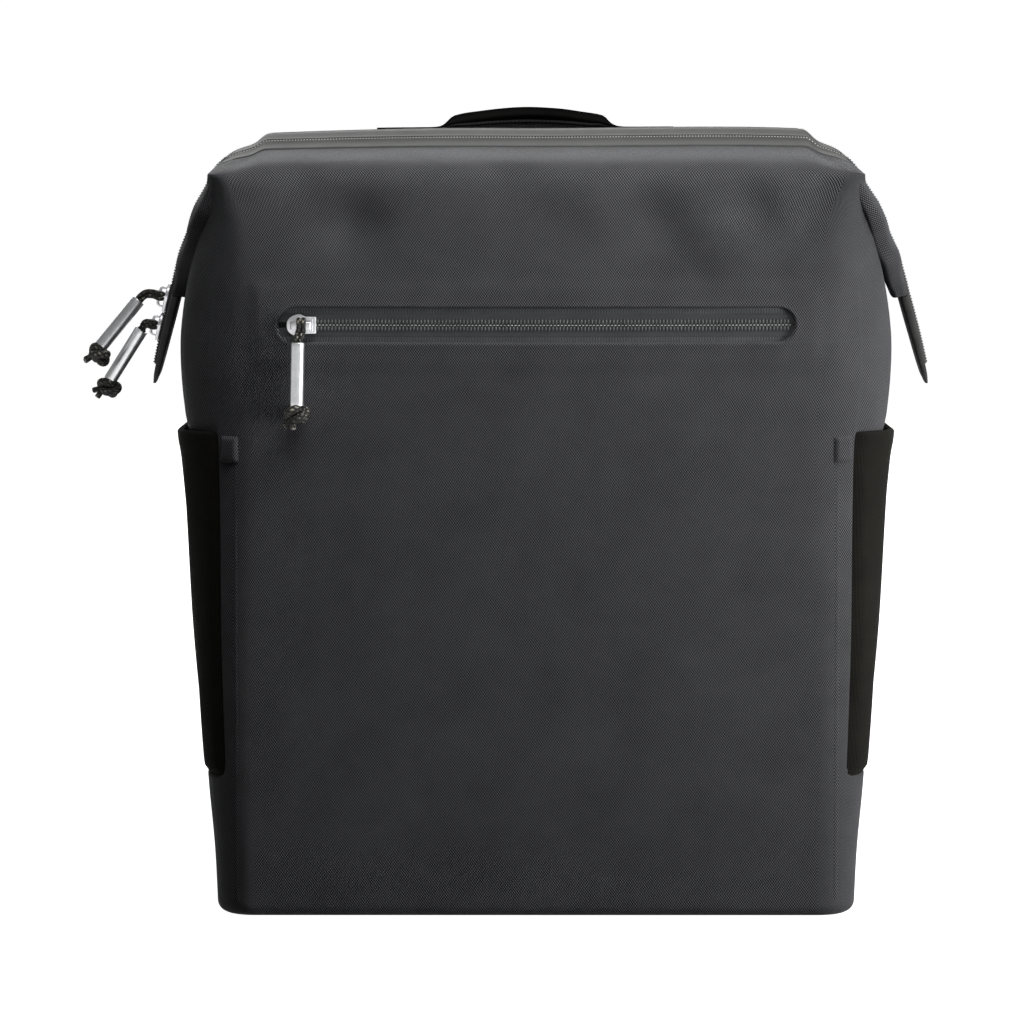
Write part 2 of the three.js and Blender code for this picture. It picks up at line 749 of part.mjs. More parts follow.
// A slider in its own frame: x along the zip with the nose at the low end, y across, z out.
function slider() {
  const nose = -sliderLength / 2;
  const tail = sliderLength / 2;
  const outline = new THREE.Shape();
  const tailHalf = sliderWidth * sliderTail;
  const noseHalf = sliderWidth * sliderNose;
  const shoulder = sliderLength * sliderShoulder;
  outline.moveTo(tail, -tailHalf);
  outline.lineTo(tail, tailHalf);
  outline.lineTo(shoulder, tailHalf);
  outline.quadraticCurveTo(0, sliderWidth / 2, -shoulder, sliderWidth / 2);
  outline.quadraticCurveTo(nose, noseHalf, nose, 0);
  outline.quadraticCurveTo(nose, -noseHalf, -shoulder, -sliderWidth / 2);
  outline.quadraticCurveTo(0, -sliderWidth / 2, shoulder, -tailHalf);
  const plate = new THREE.ExtrudeGeometry(outline, {
    depth: sliderPlate,
    bevelEnabled: false,
    curveSegments: 3,
  });
  const half = bridgeLength / 2;
  const side = new THREE.Shape();
  side.moveTo(-half, -bridgeRoot);
  side.lineTo(-half, bridgeRise - bridgeBar);
  side.lineTo(-half + bridgeSlope, bridgeRise);
  side.lineTo(half - bridgeSlope, bridgeRise);
  side.lineTo(half, bridgeRise - bridgeBar);
  side.lineTo(half, -bridgeRoot);
  side.lineTo(half - bridgeBar, -bridgeRoot);
  side.lineTo(half - bridgeBar, bridgeRise - bridgeBar);
  side.lineTo(-half + bridgeBar, bridgeRise - bridgeBar);
  side.lineTo(-half + bridgeBar, -bridgeRoot);
  const bridge = new THREE.ExtrudeGeometry(side, { depth: bridgeWidth, bevelEnabled: false });
  bridge.rotateX(Math.PI / 2);
  bridge.translate(0, bridgeWidth / 2, sliderPlate);
  return geometryOf(solid(plate).add(solid(bridge)));
}

// Puts a mesh at a place, with its x along one way and its z along another.
function place(mesh, at, along, out) {
  const across = point(0, 0, 0).crossVectors(out, along);
  const frame = new THREE.Matrix4().makeBasis(along, across, out);
  mesh.quaternion.setFromRotationMatrix(frame);
  mesh.position.copy(at);
  return mesh;
}

// A pull tube in its own frame, its bore along z and open at both ends.
function pullTube() {
  const inner = cordDiameter / 2 + gap;
  const outer = pullDiameter / 2;
  const profile = [
    [inner, 0],
    [outer, 0],
    [outer, pullLength],
    [inner, pullLength],
    [inner, 0],
  ];
  const made = new THREE.LatheGeometry(profile.map(([x, y]) => new THREE.Vector2(x, y)), 12);
  return made.rotateX(Math.PI / 2);
}

function cord(route) {
  const section = new THREE.Shape();
  const sides = 8;
  for (let i = 0; i < sides; i++) {
    const turn = (i / sides) * 2 * Math.PI;
    const corner = [(cordDiameter / 2) * Math.cos(turn), (cordDiameter / 2) * Math.sin(turn)];
    if (i) section.lineTo(...corner);
    else section.moveTo(...corner);
  }
  const curve = new THREE.CatmullRomCurve3(route, false, "centripetal");
  return new THREE.ExtrudeGeometry(section, { steps: 10, extrudePath: curve, bevelEnabled: false });
}

// A knot is a flattened ball with three soft lobes round it, in its own frame with z along the cord.
function knot() {
  const made = new THREE.SphereGeometry(knotDiameter / 2, 12, 8);
  const at = made.attributes.position;
  for (let i = 0; i < at.count; i++) {
    const p = point(0, 0, 0).fromBufferAttribute(at, i);
    const onAxis = Math.hypot(p.x, p.y) < 1e-3;
    const lobe = 0.93 + 0.07 * Math.cos(3 * Math.atan2(p.y, p.x) + (4 * p.z) / knotDiameter);
    at.setXYZ(i, onAxis ? 0 : p.x * lobe, onAxis ? 0 : p.y * lobe, p.z * knotFlatness);
  }
  return made;
}

// A pull hangs from its slider's bridge: the doubled cord runs through the tube into the knot.
function pull({ name, route, tubeTop, towards }) {
  const top = point(...tubeTop);
  const down = point(...towards).sub(top).normalize();
  const along = (distance) => top.clone().addScaledVector(down, distance);
  const turn = new THREE.Quaternion().setFromUnitVectors(point(0, 0, 1), down);
  const end = pullLength + gap;
  const straight = [0, pullLength / 3, (2 * pullLength) / 3, end].map(along);
  const free = route.map((p) => point(...p));
  const cordMesh = named(`${name}_pull_cord`, cord([...free, ...straight]), cordFabric);
  const tubeMesh = named(`${name}_pull_tube`, pullTube(), pullMetal);
  tubeMesh.position.copy(top);
  tubeMesh.quaternion.copy(turn);
  const knotMesh = named(`${name}_pull_knot`, knot(), cordFabric);
  knotMesh.position.copy(along(end + gap + (knotDiameter / 2) * knotFlatness));
  knotMesh.quaternion.copy(turn);
  const group = new THREE.Group();
  group.add(cordMesh, tubeMesh, knotMesh);
  return group;
}

// The places on the right side that a pocket covers at a height, from its front edge round the
// corner and along the side to the back corner, with the way out at each.
function pocketRun(height) {
  const ring = planRing(height, bodyColumns);
  const last = bodyColumns.turns.length + bodyColumns.side - 1;
  const first = bodyColumns.turns.indexOf(pocketFrontTurn);
  return ring.slice(first, last + 1).map((at, i) => {
    const way = ring[first + i + 1].clone().sub(ring[first + i - 1]);
    return { at, out: point(way.y, -way.x, 0).normalize() };
  });
}

// A pocket is one stretched sheet that meets the side along its front, bottom and back edges and
// stands off it at its rim.
function sidePocket(side) {
  const count = pocketRun(pocketBottom).length;
  const near = [];
  const far = [];
  levelsBesidePocket.forEach((up, row) => {
    const wall = row === levelsBesidePocket.length - 1 ? pocketHem : pocketWall;
    const nearRow = [];
    const farRow = [];
    for (let i = 0; i < count; i++) {
      const along = i / (count - 1);
      const fall = pocketRimFall * smooth(0, 0.7, along) * up;
      const level = pocketBottom + up * (pocketFrontHeight - pocketBottom) - fall;
      const { at, out } = pocketRun(level)[i];
      const off = gap + pocketFlare * Math.sin(Math.PI * along) * up ** 3;
      nearRow.push(at.clone().addScaledVector(out, off));
      farRow.push(at.clone().addScaledVector(out, off + wall));
    }
    near.push(nearRow);
    far.push(farRow);
  });
  const mirror = (grid) => grid.map((row) => row.map((p) => point(p.x * side, p.y, p.z)));
  return sheet(mirror(near), mirror(far));
}

// The folded tab on the front beside the end of a pocket's rim.
function pocketTab(side) {
  const outer = pocketRun(pocketFrontHeight)[0].at.x - pocketWall - 2 * gap;
  const low = pocketFrontHeight - pocketTabHeight;
  const levels = [0, 0.15, 0.5, 0.85, 1];
  return band(
    levels.map((share) => {
      const height = low + share * pocketTabHeight;
      const full = share === 0 || share === 1 ? 0.6 : 1;
      const half = (pocketTabThickness * full) / 2;
      const onFront = (x) => point(x * side, frontSkin(x, height), height);
      const inner = onFront(outer - pocketTabWidth);
      const across = onFront(outer).sub(inner).normalize();
      const out = point(across.y * side, -across.x * side, 0);
      return {
        at: inner.addScaledVector(across, pocketTabWidth / 2).addScaledVector(out, half + 3 * gap),
        across,
        out,
        halfWidth: pocketTabWidth / 2,
        halfThickness: half,
      };
    }),
    0.8,
  );
}

// The front of the body near a corner, where it is already rounding towards the side.
function frontSkin(x, height) {
  const ring = planRing(height, fineColumns);
  const front = ring.filter((p) => p.y < 0 && p.x > 0).sort((a, b) => a.y - b.y);
  const after = front.findIndex((p) => p.x > x);
  const near = front.slice(0, after).reduce((best, p) => (p.x > best.x ? p : best));
  const next = front[after];
  return near.y + ((next.y - near.y) * (x - near.x)) / (next.x - near.x);
}

// The handle is an arch over the back of the top. Its ends lie flat on the top, and its middle
// leans back.
function topHandle() {
  const feet = sectionAt(cornerHeight).halfDepth - handleFromBack;
  const fall = roofAt(handleCentre, feet - handleHalfWidth) - roofAt(handleCentre, feet + handleHalfWidth);
  const footTilt = Math.atan2(fall, 2 * handleHalfWidth);
  const fullTilt = THREE.MathUtils.degToRad(handleTilt);
  const other = handleSections.map((row) => ({ ...row, along: -row.along })).reverse();
  const stations = [...handleSections, ...other].map(({ along, rise, thick }) => {
    const x = handleCentre + (along * handleSpan) / 2;
    const halfThickness = (thick * handleThickness) / 2;
    const tilt = footTilt + (fullTilt - footTilt) * rise;
    const across = point(0, Math.cos(tilt), -Math.sin(tilt));
    const under = [-1, -0.5, 0, 0.5, 1].map((share) => {
      const off = share * handleHalfWidth;
      return roofAt(x, feet + off * across.y) - off * across.z;
    });
    const low = Math.max(...under) - roofFacet + gap + halfThickness;
    const high = handleTop + handleHalfWidth * across.z - halfThickness * across.y;
    return {
      at: point(x, feet + handleLean * rise, low * (1 - rise) + high * rise),
      across,
      halfWidth: handleHalfWidth,
      halfThickness,
    };
  });
  stations.forEach((station, i) => {
    const before = stations[Math.max(i - 1, 0)].at;
    const after = stations[Math.min(i + 1, stations.length - 1)].at;
    station.out = after.clone().sub(before).cross(station.across).normalize();
  });
  return band(stations, handleEdge);
}

// A flat piece that lies on the back, between two heights, drawn to follow its curve.
function backPatch(centre, halfWidth, low, high, thickness) {
  const count = 8;
  const near = [];
  const far = [];
  for (let row = 0; row <= 3; row++) {
    const height = low + ((high - low) * row) / 3;
    const xs = Array.from({ length: count + 1 }, (_, i) => centre + halfWidth * ((2 * i) / count - 1));
    near.push(xs.map((x) => point(x, backAt(x, height) + gap, height)));
    far.push(xs.map((x) => point(x, backAt(x, height) + gap + thickness, height)));
  }
  return sheet(near, far);
}

// The middle line of a shoulder strap, with its size at each place.
function strapRows(side) {
  return strapSections.map((row) => {
    const height = strapTop + (strapBottom - strapTop) * row.down;
    const x = side * (strapTopAt + (strapBottomAt - strapTopAt) * row.out);
    const thick = row.thick * strapThickness;
    const base = backAt(x, height) + 2 * gap + yokeThickness + thick / 2;
    return { at: point(x, base + strapBow * row.bow, height), width: row.width * strapWidth, thick };
  });
}

// The stations of a strip along its rows. leaving is the way that its lower end points.
function strapStations(rows, leaving) {
  return rows.map((row, i) => {
    const before = rows[Math.max(i - 1, 0)].at;
    const after = rows[Math.min(i + 1, rows.length - 1)].at;
    const isEnd = i === rows.length - 1;
    const along = isEnd ? leaving.clone() : after.clone().sub(before).normalize();
    const across = point(0, 0, 0).crossVectors(along, point(0, 1, 0)).normalize();
    return {
      at: row.at,
      across,
      out: point(0, 0, 0).crossVectors(across, along).normalize(),
      halfWidth: row.width / 2,
      halfThickness: row.thick / 2,
    };
  });
}

function shoulderStrap(side) {
  return band(strapStations(strapRows(side), strapEnd(side).down), strapEdge);
}

// The frame that a strap's end leads into: its place, and the way down along the webbing.
function strapEnd(side) {
  const end = strapRows(side).pop().at;
  const height = anchorHeight + anchorLength / 2;
  const x = side * anchorAt * bodyWidth;
  const foot = point(x, backAt(x, height) + 2 * gap + anchorThickness + webbingThickness / 2, height);
  return { end, foot, down: foot.clone().sub(end).normalize() };
}

// A ladder lock is a flat frame with two slots, one bar across its middle.
function ladderLock(side) {
  const { end, down } = strapEnd(side);
  const outline = new THREE.Shape();
  const half = { x: lockWidth / 2, y: lockHeight / 2 };
  outline.moveTo(-half.x + lockCorner, -half.y);
  outline.lineTo(half.x - lockCorner, -half.y);
  outline.lineTo(half.x, -half.y + lockCorner);
  outline.lineTo(half.x, half.y - lockCorner);
  outline.lineTo(half.x - lockCorner, half.y);
  outline.lineTo(-half.x + lockCorner, half.y);
  outline.lineTo(-half.x, half.y - lockCorner);
  outline.lineTo(-half.x, -half.y + lockCorner);
  const slotHeight = (lockHeight - 3 * lockBar) / 2;
  [-1, 1].forEach((way) => {
    const middle = (way * (lockBar + slotHeight)) / 2;
    const slot = new THREE.Path();
    slot.moveTo(-half.x + lockBar, middle - slotHeight / 2);
    slot.lineTo(-half.x + lockBar, middle + slotHeight / 2);
    slot.lineTo(half.x - lockBar, middle + slotHeight / 2);
    slot.lineTo(half.x - lockBar, middle - slotHeight / 2);
    outline.holes.push(slot);
  });
  const made = new THREE.ExtrudeGeometry(outline, { depth: lockThickness, bevelEnabled: false });
  made.translate(0, 0, -lockThickness / 2);
  const mesh = new THREE.Mesh(made, blackPlastic);
  const up = down.clone().negate();
  const across = point(0, 0, 0).crossVectors(up, point(0, 1, 0)).normalize();
  const out = point(0, 0, 0).crossVectors(across, up);
  mesh.quaternion.setFromRotationMatrix(new THREE.Matrix4().makeBasis(across, up, out));
  mesh.position.copy(end).addScaledVector(down, lockHeight / 2 + gap);
  return mesh;
}

function strapWebbing(side) {
  const { end, foot, down } = strapEnd(side);
  const start = end.clone().addScaledVector(down, lockHeight + 2 * gap);
  const rows = [0, 0.35, 0.7, 1].map((share) => ({
    at: start.clone().lerp(foot, share).add(point(0, -webbingSag * Math.sin(Math.PI * share), 0)),
    width: webbingWidth,
    thick: webbingThickness,
  }));
  return band(strapStations(rows, down), 0.4);
}

function lowerAnchor(side) {
  const low = anchorHeight - anchorLength / 2;
  const middle = side * anchorAt * bodyWidth;
  return backPatch(middle, anchorHalfWidth, low, low + anchorLength, anchorThickness);
}

// Names a mesh and gives it back.
function named(name, shape, look) {
  const mesh = shape.isMesh ? shape : new THREE.Mesh(shape, look);
  mesh.name = name;
  return mesh;
}

function placedSliders() {
  const front = named("front_slider", slider(), sliderMetal);
  const rise = frontZipRecess - frontTapeThickness - chainRise;
  const y = frontAt(frontSliderAt, frontZipCentre) + rise - gap;
  place(front, point(frontSliderAt, y, frontZipCentre), point(1, 0, 0), point(0, -1, 0));
  const names = ["upper_wing_slider", "lower_wing_slider"];
  const wings = wingSliderDrops.map((drop, i) => {
    const { at, outward } = wingAt(-1, cornerHeight - drop);
    const up = point(0, 0, 0).crossVectors(outward, acrossWing).normalize();
    const seat = at.addScaledVector(outward, chainRise + gap);
    return place(named(names[i], slider(), sliderMetal), seat, up, outward);
  });
  return [front, ...wings];
}

const backpack = new THREE.Group();
backpack.add(named("body_shell", bodyShell(), fabric));
backpack.add(named("front_zip", frontZip(), zipPlastic));
backpack.add(named("top_zip", topZip(), zipPlastic));
backpack.add(...placedSliders());
pulls.forEach((row) => backpack.add(pull(row)));
[
  { word: "left", side: -1 },
  { word: "right", side: 1 },
].forEach(({ word, side }) => {
  backpack.add(named(`${word}_zip_end_tab`, zipEndTab(side), blackPlastic));
  backpack.add(named(`${word}_side_pocket`, sidePocket(side), pocketFabric));
  backpack.add(named(`${word}_pocket_tab`, pocketTab(side), fabric));
  backpack.add(named(`${word}_shoulder_strap`, shoulderStrap(side), webbingFabric));
  backpack.add(named(`${word}_ladder_lock`, ladderLock(side), blackPlastic));
  backpack.add(named(`${word}_strap_webbing`, strapWebbing(side), webbingFabric));
  backpack.add(named(`${word}_lower_anchor`, lowerAnchor(side), webbingFabric));
});
backpack.add(named("top_handle", topHandle(), webbingFabric));
backpack.add(
  named(
    "strap_yoke",
    backPatch(0, yokeHalfWidth, yokeCentre - yokeHeight / 2, yokeCentre + yokeHeight / 2, yokeThickness),
    webbingFabric,
  ),
);

export default backpack;
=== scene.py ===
import math

import bmesh
import bpy
import numpy as np
from mathutils import Matrix, Vector


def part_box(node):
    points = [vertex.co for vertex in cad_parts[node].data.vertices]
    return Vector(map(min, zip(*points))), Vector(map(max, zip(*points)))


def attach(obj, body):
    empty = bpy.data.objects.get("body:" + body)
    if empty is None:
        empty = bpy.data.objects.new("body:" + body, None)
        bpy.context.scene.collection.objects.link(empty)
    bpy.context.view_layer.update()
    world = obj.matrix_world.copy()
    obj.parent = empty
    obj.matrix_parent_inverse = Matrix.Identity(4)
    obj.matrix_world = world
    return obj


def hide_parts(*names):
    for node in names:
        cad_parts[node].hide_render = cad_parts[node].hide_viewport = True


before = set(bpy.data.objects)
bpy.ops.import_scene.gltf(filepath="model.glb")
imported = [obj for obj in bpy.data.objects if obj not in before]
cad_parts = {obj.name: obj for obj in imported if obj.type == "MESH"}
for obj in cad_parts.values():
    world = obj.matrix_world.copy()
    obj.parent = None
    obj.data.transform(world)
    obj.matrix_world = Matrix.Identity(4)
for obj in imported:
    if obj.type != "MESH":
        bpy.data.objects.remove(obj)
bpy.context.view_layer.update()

MM = 0.001

# Sizes in millimetres, as in the part's source
BODY_WIDTH = 337.2
BODY_DEPTH = 184
CORNER_HEIGHT = 346
RIDGE_RISE = 16.8
CORNER_RADIUS = 32
SIDE_CROWN = 6
FRONT_CROWN = 6
BACK_CROWN = 2.5
BASE_EDGE = 5
GAP = 0.3
EAR_DROP = 60
EAR_REACH = {-1: 22.3, 1: 26}
EAR_SPREAD = 80
EAR_THICKNESS = 10.5
EAR_FOLD_INSET = 1
TAPE_HALF_WIDTH = 17
TAPE_TAPER = 0.36
CHAIN_RISE = 0.7
TAB_DROP = 43
TAB_REACH = {-1: 9.4, 1: 10.3}
TAB_HALF_WIDTH = 15
TAB_THICKNESS = 5
ZIP_END_ALONG_TAB = 0.78
FRONT_ZIP_LENGTH = 240.2
FRONT_ZIP_HEIGHT = 16.3
FRONT_ZIP_CENTRE = 276.8
FRONT_ZIP_RECESS = 2.4
FRONT_TAPE_THICKNESS = 1.6
FRONT_TAPE_DEPTH = FRONT_ZIP_RECESS - FRONT_TAPE_THICKNESS
SLIDER_LENGTH = 13.6
SLIDER_WIDTH = 10.2
SLIDER_PLATE = 1.5
BRIDGE_LENGTH = 10.1
BRIDGE_WIDTH = 3.6
BRIDGE_RISE = 3.5
BRIDGE_BAR = 1.2
FRONT_SLIDER_AT = -108.7
WING_SLIDER_DROPS = (63.2, 76.9)
PULL_DIAMETER = 6.5
PULL_LENGTH = 29.4
CORD_DIAMETER = 4.4
KNOT_DIAMETER = 11.4
KNOT_FLATNESS = 0.85
POCKET_BOTTOM = 65
POCKET_FRONT_HEIGHT = 225
POCKET_RIM_FALL = 5
POCKET_FRONT_TURN = 35
POCKET_WALL = 1.2
POCKET_FLARE = 2.6
POCKET_ROOM = 7
POCKET_SEAM_DEPTH = 1.7
HANDLE_SPAN = 120
HANDLE_CENTRE = -5
HANDLE_TOP = 372.4
HANDLE_HALF_WIDTH = 12
HANDLE_THICKNESS = 7
HANDLE_FROM_BACK = 14
HANDLE_LEAN = 17
HANDLE_TILT = 22
YOKE_HALF_WIDTH = 84
YOKE_HEIGHT = 30
YOKE_CENTRE = 318
YOKE_THICKNESS = 4
STRAP_WIDTH = 60
STRAP_THICKNESS = 10
STRAP_TOP_AT = 46
STRAP_BOTTOM_AT = 88
STRAP_TOP = 322
STRAP_BOTTOM = 152
STRAP_BOW = 30
WEBBING_WIDTH = 25
WEBBING_THICKNESS = 1.8
WEBBING_SAG = 3
LOCK_HEIGHT = 22
LOCK_EDGE = 0.6
ANCHOR_AT = 0.344 * BODY_WIDTH
ANCHOR_HEIGHT = 44
ANCHOR_LENGTH = 34
ANCHOR_THICKNESS = 3.4
ANCHOR_HALF_WIDTH = 15.5

# The camera, from the perspective of the photograph
CAMERA_PLACE = (-0.00888, -2.61289, 0.48422)
CAMERA_PITCH = 0.115902
CAMERA_TURN = 0.00094
FOCAL_PIXELS = 5480.8
IMAGE_PIXELS = 1024

# The body from the base up, as shares of its height, width, depth, corner radius and crown
BODY_COLUMNS = ("height", "width", "depth", "corner", "crown")
BODY = (
    (0, 0.8865, 0.985, 0.56, 0),
    (0.087, 0.8985, 0.996, 0.6, 0.15),
    (0.1734, 0.918, 1, 0.66, 0.3),
    (0.364, 0.9525, 0.995, 0.8, 0.65),
    (0.53, 0.9705, 0.982, 0.92, 0.85),
    (0.6416, 0.984, 0.968, 1, 0.95),
    (0.7225, 0.9995, 0.955, 1, 1),
    (0.7803, 1, 0.94, 1, 1),
    (0.8555, 0.9768, 0.918, 0.88, 0.8),
    (0.919, 0.9408, 0.895, 0.7, 0.5),
    (0.968, 0.9171, 0.88, 0.48, 0.2),
    (1, 0.9041, 0.87, 0.26, 0),
)
# The top from front to back at its middle, and how it falls away at its ends
ROOF_COLUMNS = ("from", "rise")
ROOF = (
    (-1, 0),
    (-0.925, 0.27),
    (-0.75, 0.42),
    (-0.2125, 0.577),
    (0, 0.774),
    (0.25, 1),
    (0.5625, 0.893),
    (0.875, 0.536),
    (1, 0),
)
END_COLUMNS = ("out", "rise")
ROOF_ENDS = ((0, 1), (0.838, 1), (0.886, 0.66), (0.948, 0.42), (0.985, 0.16), (1, 0))
# How far in from the top edge each ring of the top lies, as a share of the way to its middle
TOP_STEPS = (0.012, 0.03, 0.055, 0.08, 0.11, 0.15, 0.2, 0.26, 0.33, 0.4, 0.48, 0.56, 0.64, 0.72, 0.8, 0.9)
# Dents pressed into the upper front: place and size in shares of the body, tilt in degrees, depth in mm
# Columns: across, up, spread, tall, tilt, depth
DENTS = (
    (-0.258, 0.931, 0.05, 0.052, 0, 4),
    (-0.325, 1.0, 0.03, 0.02, 0, 2),
    (-0.044, 1.0, 0.03, 0.02, 0, 2),
    (0.174, 0.948, 0.03, 0.085, -52, 3),
    (0.287, 0.976, 0.035, 0.03, 0, 2.6),
    (0.398, 0.965, 0.02, 0.05, -38, 2.4),
)
# Folds below the top edge in millimetres: where, from what height, how long, their lean, width and depth
FOLDS = (
    (-112, 345, 26, 0.1, 9, 1.5),
    (-88, 346, 30, -0.3, 10, 1.4),
    (-84, 316, 16, -0.7, 24, -1.6),
    (-8, 345, 26, 0.35, 12, 1.4),
    (18, 344, 22, 0.5, 9, -1.0),
    (42, 346, 60, 0.75, 9, 1.6),
    (70, 344, 70, 0.55, 12, -1.3),
    (96, 346, 34, 0.5, 9, 1.6),
    (112, 338, 40, 0.3, 9, -1.2),
    (134, 343, 44, -0.5, 8, 1.5),
    (-140, 330, 50, 0.25, 12, -0.9),
)
# The outer line of an ear, and of the end tab below it
# Columns: drop, out, spread
EAR = (
    (0, 0, 0.96),
    (0.19, 0.27, 0.92),
    (0.29, 0.43, 0.88),
    (0.42, 0.565, 0.8),
    (0.52, 0.63, 0.71),
    (0.68, 0.8, 0.54),
    (0.9, 0.942, 0.29),
    (1, 1, 0.22),
)
# Columns: drop, out, width, thick
TAB = (
    (0, 0, 1, 1),
    (0.2, 0.24, 1, 1),
    (0.5, 0.57, 0.95, 0.92),
    (0.88, 0.94, 0.82, 0.66),
    (1, 1, 0.55, 0.3),
)
STRAP_COLUMNS = ("down", "out", "bow", "width", "thick")
STRAP = (
    (0, 0, 0, 0.82, 0.5),
    (0.06, 0, 0.22, 0.94, 0.9),
    (0.18, 0.04, 0.6, 1, 1),
    (0.36, 0.16, 0.92, 1, 1),
    (0.56, 0.42, 1, 1, 1),
    (0.76, 0.72, 0.9, 0.96, 1),
    (0.92, 0.94, 0.7, 0.8, 0.9),
    (1, 1, 0.6, 0.5, 0.5),
)
HANDLE_COLUMNS = ("along", "rise", "thick")
HANDLE = (
    (-1.2, 0, 0.3),
    (-1, 0, 0.3),
    (-0.86, 0, 0.3),
    (-0.7, 0, 0.5),
    (-0.62, 0.13, 0.85),
    (-0.49, 0.45, 1),
    (-0.36, 0.665, 1),
    (-0.22, 0.85, 1),
    (-0.09, 0.965, 1),
    (0.04, 1, 1),
    (0.2, 0.93, 1),
    (0.32, 0.82, 1),
    (0.45, 0.61, 1),
    (0.58, 0.36, 1),
    (0.68, 0.1, 0.85),
    (0.76, 0, 0.5),
    (0.88, 0, 0.3),
    (1, 0, 0.3),
    (1.2, 0, 0.3),
)
# The top zip's tape from its front edge to its back edge: the place across it and how far it stands up
# Columns: across, lift
TOP_TAPE = (
    (-1, -1.2),
    (-0.995, -0.2),
    (-0.97, 0.15),
    (-0.8, 0.2),
    (-0.6, 0.15),
    (-0.4, 0.15),
    (-0.22, 0.25),
    (-0.12, 0.55),
    (-0.05, 0.6),
    (-0.02, 0.1),
    (0, -0.7),
    (0.02, 0.1),
    (0.05, 0.85),
    (0.12, 0.8),
    (0.22, 0.35),
    (0.4, 0.2),
    (0.6, 0.2),
    (0.8, 0.2),
    (0.97, 0.15),
    (0.995, -0.2),
    (1, -1.2),
)
TEETH_COLUMN = 9
# The pulls: the free route of each cord from its bridge, where its tube starts, what the tube points
# at, and the way that the two legs of the cord lie side by side
PULLS = {
    "front": {
        "route": ((-109, -88.3, 274.5), (-109.4, -89.3, 272.9), (-109.8, -90.4, 271.2)),
        "tube_top": (-110.1, -90.9, 269.4),
        "towards": (-110.7, -92, 240),
        "beside": (1, 0, 0),
        "turn": 200,
        "knot_off": (0.3, -0.4, 1.2),
    },
    "upper_wing": {
        "route": ((-180.8, 0, 284.3), (-183, 0, 284.9), (-186, -0.8, 285), (-188.2, -1.5, 283.6)),
        "tube_top": (-189.6, -1.9, 282),
        "towards": (-208.3, -6.4, 259.3),
        "beside": (0.3, 0, 1),
        "turn": 150,
        "knot_off": (3.0, 0, 0.6),
    },
    "lower_wing": {
        "route": ((-184.4, 0, 270.5), (-186, 0.1, 270.8), (-187.6, 0.7, 269.7)),
        "tube_top": (-188.4, 1.1, 267.8),
        "towards": (-204.1, 4.4, 243),
        "beside": (0.3, 0, 1),
        "turn": 190,
        "knot_off": (2.2, 0, 0.8),
    },
}


# Tables and curves


def between(rows, columns, at, column):
    """The value of one column of a table at places between its rows, on a smooth curve."""
    table = np.array(rows, float)
    xs = table[:, 0]
    ys = table[:, columns.index(column)]
    at = np.asarray(at, float)
    i = np.clip(np.searchsorted(xs, at, side="right") - 1, 0, len(xs) - 2)
    span = xs[i + 1] - xs[i]
    share = np.clip((at - xs[i]) / span, 0, 1)
    low = np.maximum(np.arange(len(xs)) - 1, 0)
    high = np.minimum(np.arange(len(xs)) + 1, len(xs) - 1)
    slope = (ys[high] - ys[low]) / (xs[high] - xs[low])
    bend = share * share * (3 - 2 * share)
    level = ys[i] * (1 - bend) + ys[i + 1] * bend
    return (
        level
        + slope[i] * span * share * (1 - share) ** 2
        - slope[i + 1] * span * share**2 * (1 - share)
    )


def smooth(low, high, at):
    t = np.clip((np.asarray(at, float) - low) / (high - low), 0, 1)
    return t * t * (3 - 2 * t)


def unit(v):
    v = np.asarray(v, float)
    return v / np.maximum(np.linalg.norm(v, axis=-1, keepdims=True), 1e-12)


def run_of(points):
    """The length run so far at each point of a line."""
    return np.concatenate([[0], np.cumsum(np.linalg.norm(np.diff(points, axis=0), axis=1))])


def through(points, step):
    """Places every step along a smooth curve through the points."""
    p = np.asarray(points, float)
    p = np.vstack([2 * p[0] - p[1], p, 2 * p[-1] - p[-2]])
    out = []
    for a, b, c, d in zip(p, p[1:], p[2:], p[3:]):
        count = max(2, int(np.linalg.norm(c - b) / step) + 1)
        for t in np.linspace(0, 1, count, endpoint=False):
            out.append(
                0.5
                * (2 * b + (c - a) * t + (2 * a - 5 * b + 4 * c - d) * t * t + (3 * b - a - 3 * c + d) * t**3)
            )
    out.append(p[-2])
    return np.array(out)


# Meshes


def grid_faces(rows, columns, wrap=False):
    a = np.arange(rows * columns).reshape(rows, columns)
    b = np.roll(a, -1, axis=1) if wrap else a[:, 1:]
    a = a if wrap else a[:, :-1]
    quads = np.stack([a[:-1], b[:-1], b[1:], a[1:]], -1).reshape(-1, 4)
    return [tuple(int(i) for i in q) for q in quads]


def mesh_object(name, points, faces, look, uvs=None):
    """A piece from points in millimetres, with a weave map in metres where uvs gives one."""
    mesh = bpy.data.meshes.new(name)
    mesh.from_pydata([tuple(p) for p in np.asarray(points, float) * MM], [], faces)
    if uvs is not None:
        layer = mesh.uv_layers.new(name="weave")
        loops = np.zeros(len(mesh.loops), int)
        mesh.loops.foreach_get("vertex_index", loops)
        layer.data.foreach_set("uv", (np.asarray(uvs, float) * MM)[loops].ravel())
    mesh.polygons.foreach_set("use_smooth", [True] * len(mesh.polygons))
    mesh.materials.append(look)
    piece = bpy.data.objects.new(name, mesh)
    bpy.context.scene.collection.objects.link(piece)
    return piece


def face_out(piece):
    """Turns a closed piece's faces out."""
    work = bmesh.new()
    work.from_mesh(piece.data)
    bmesh.ops.recalc_face_normals(work, faces=work.faces)
    work.to_mesh(piece.data)
    work.free()
    return piece


def sharpen(piece, degrees=35):
    piece.data.set_sharp_from_angle(angle=math.radians(degrees))
    return piece


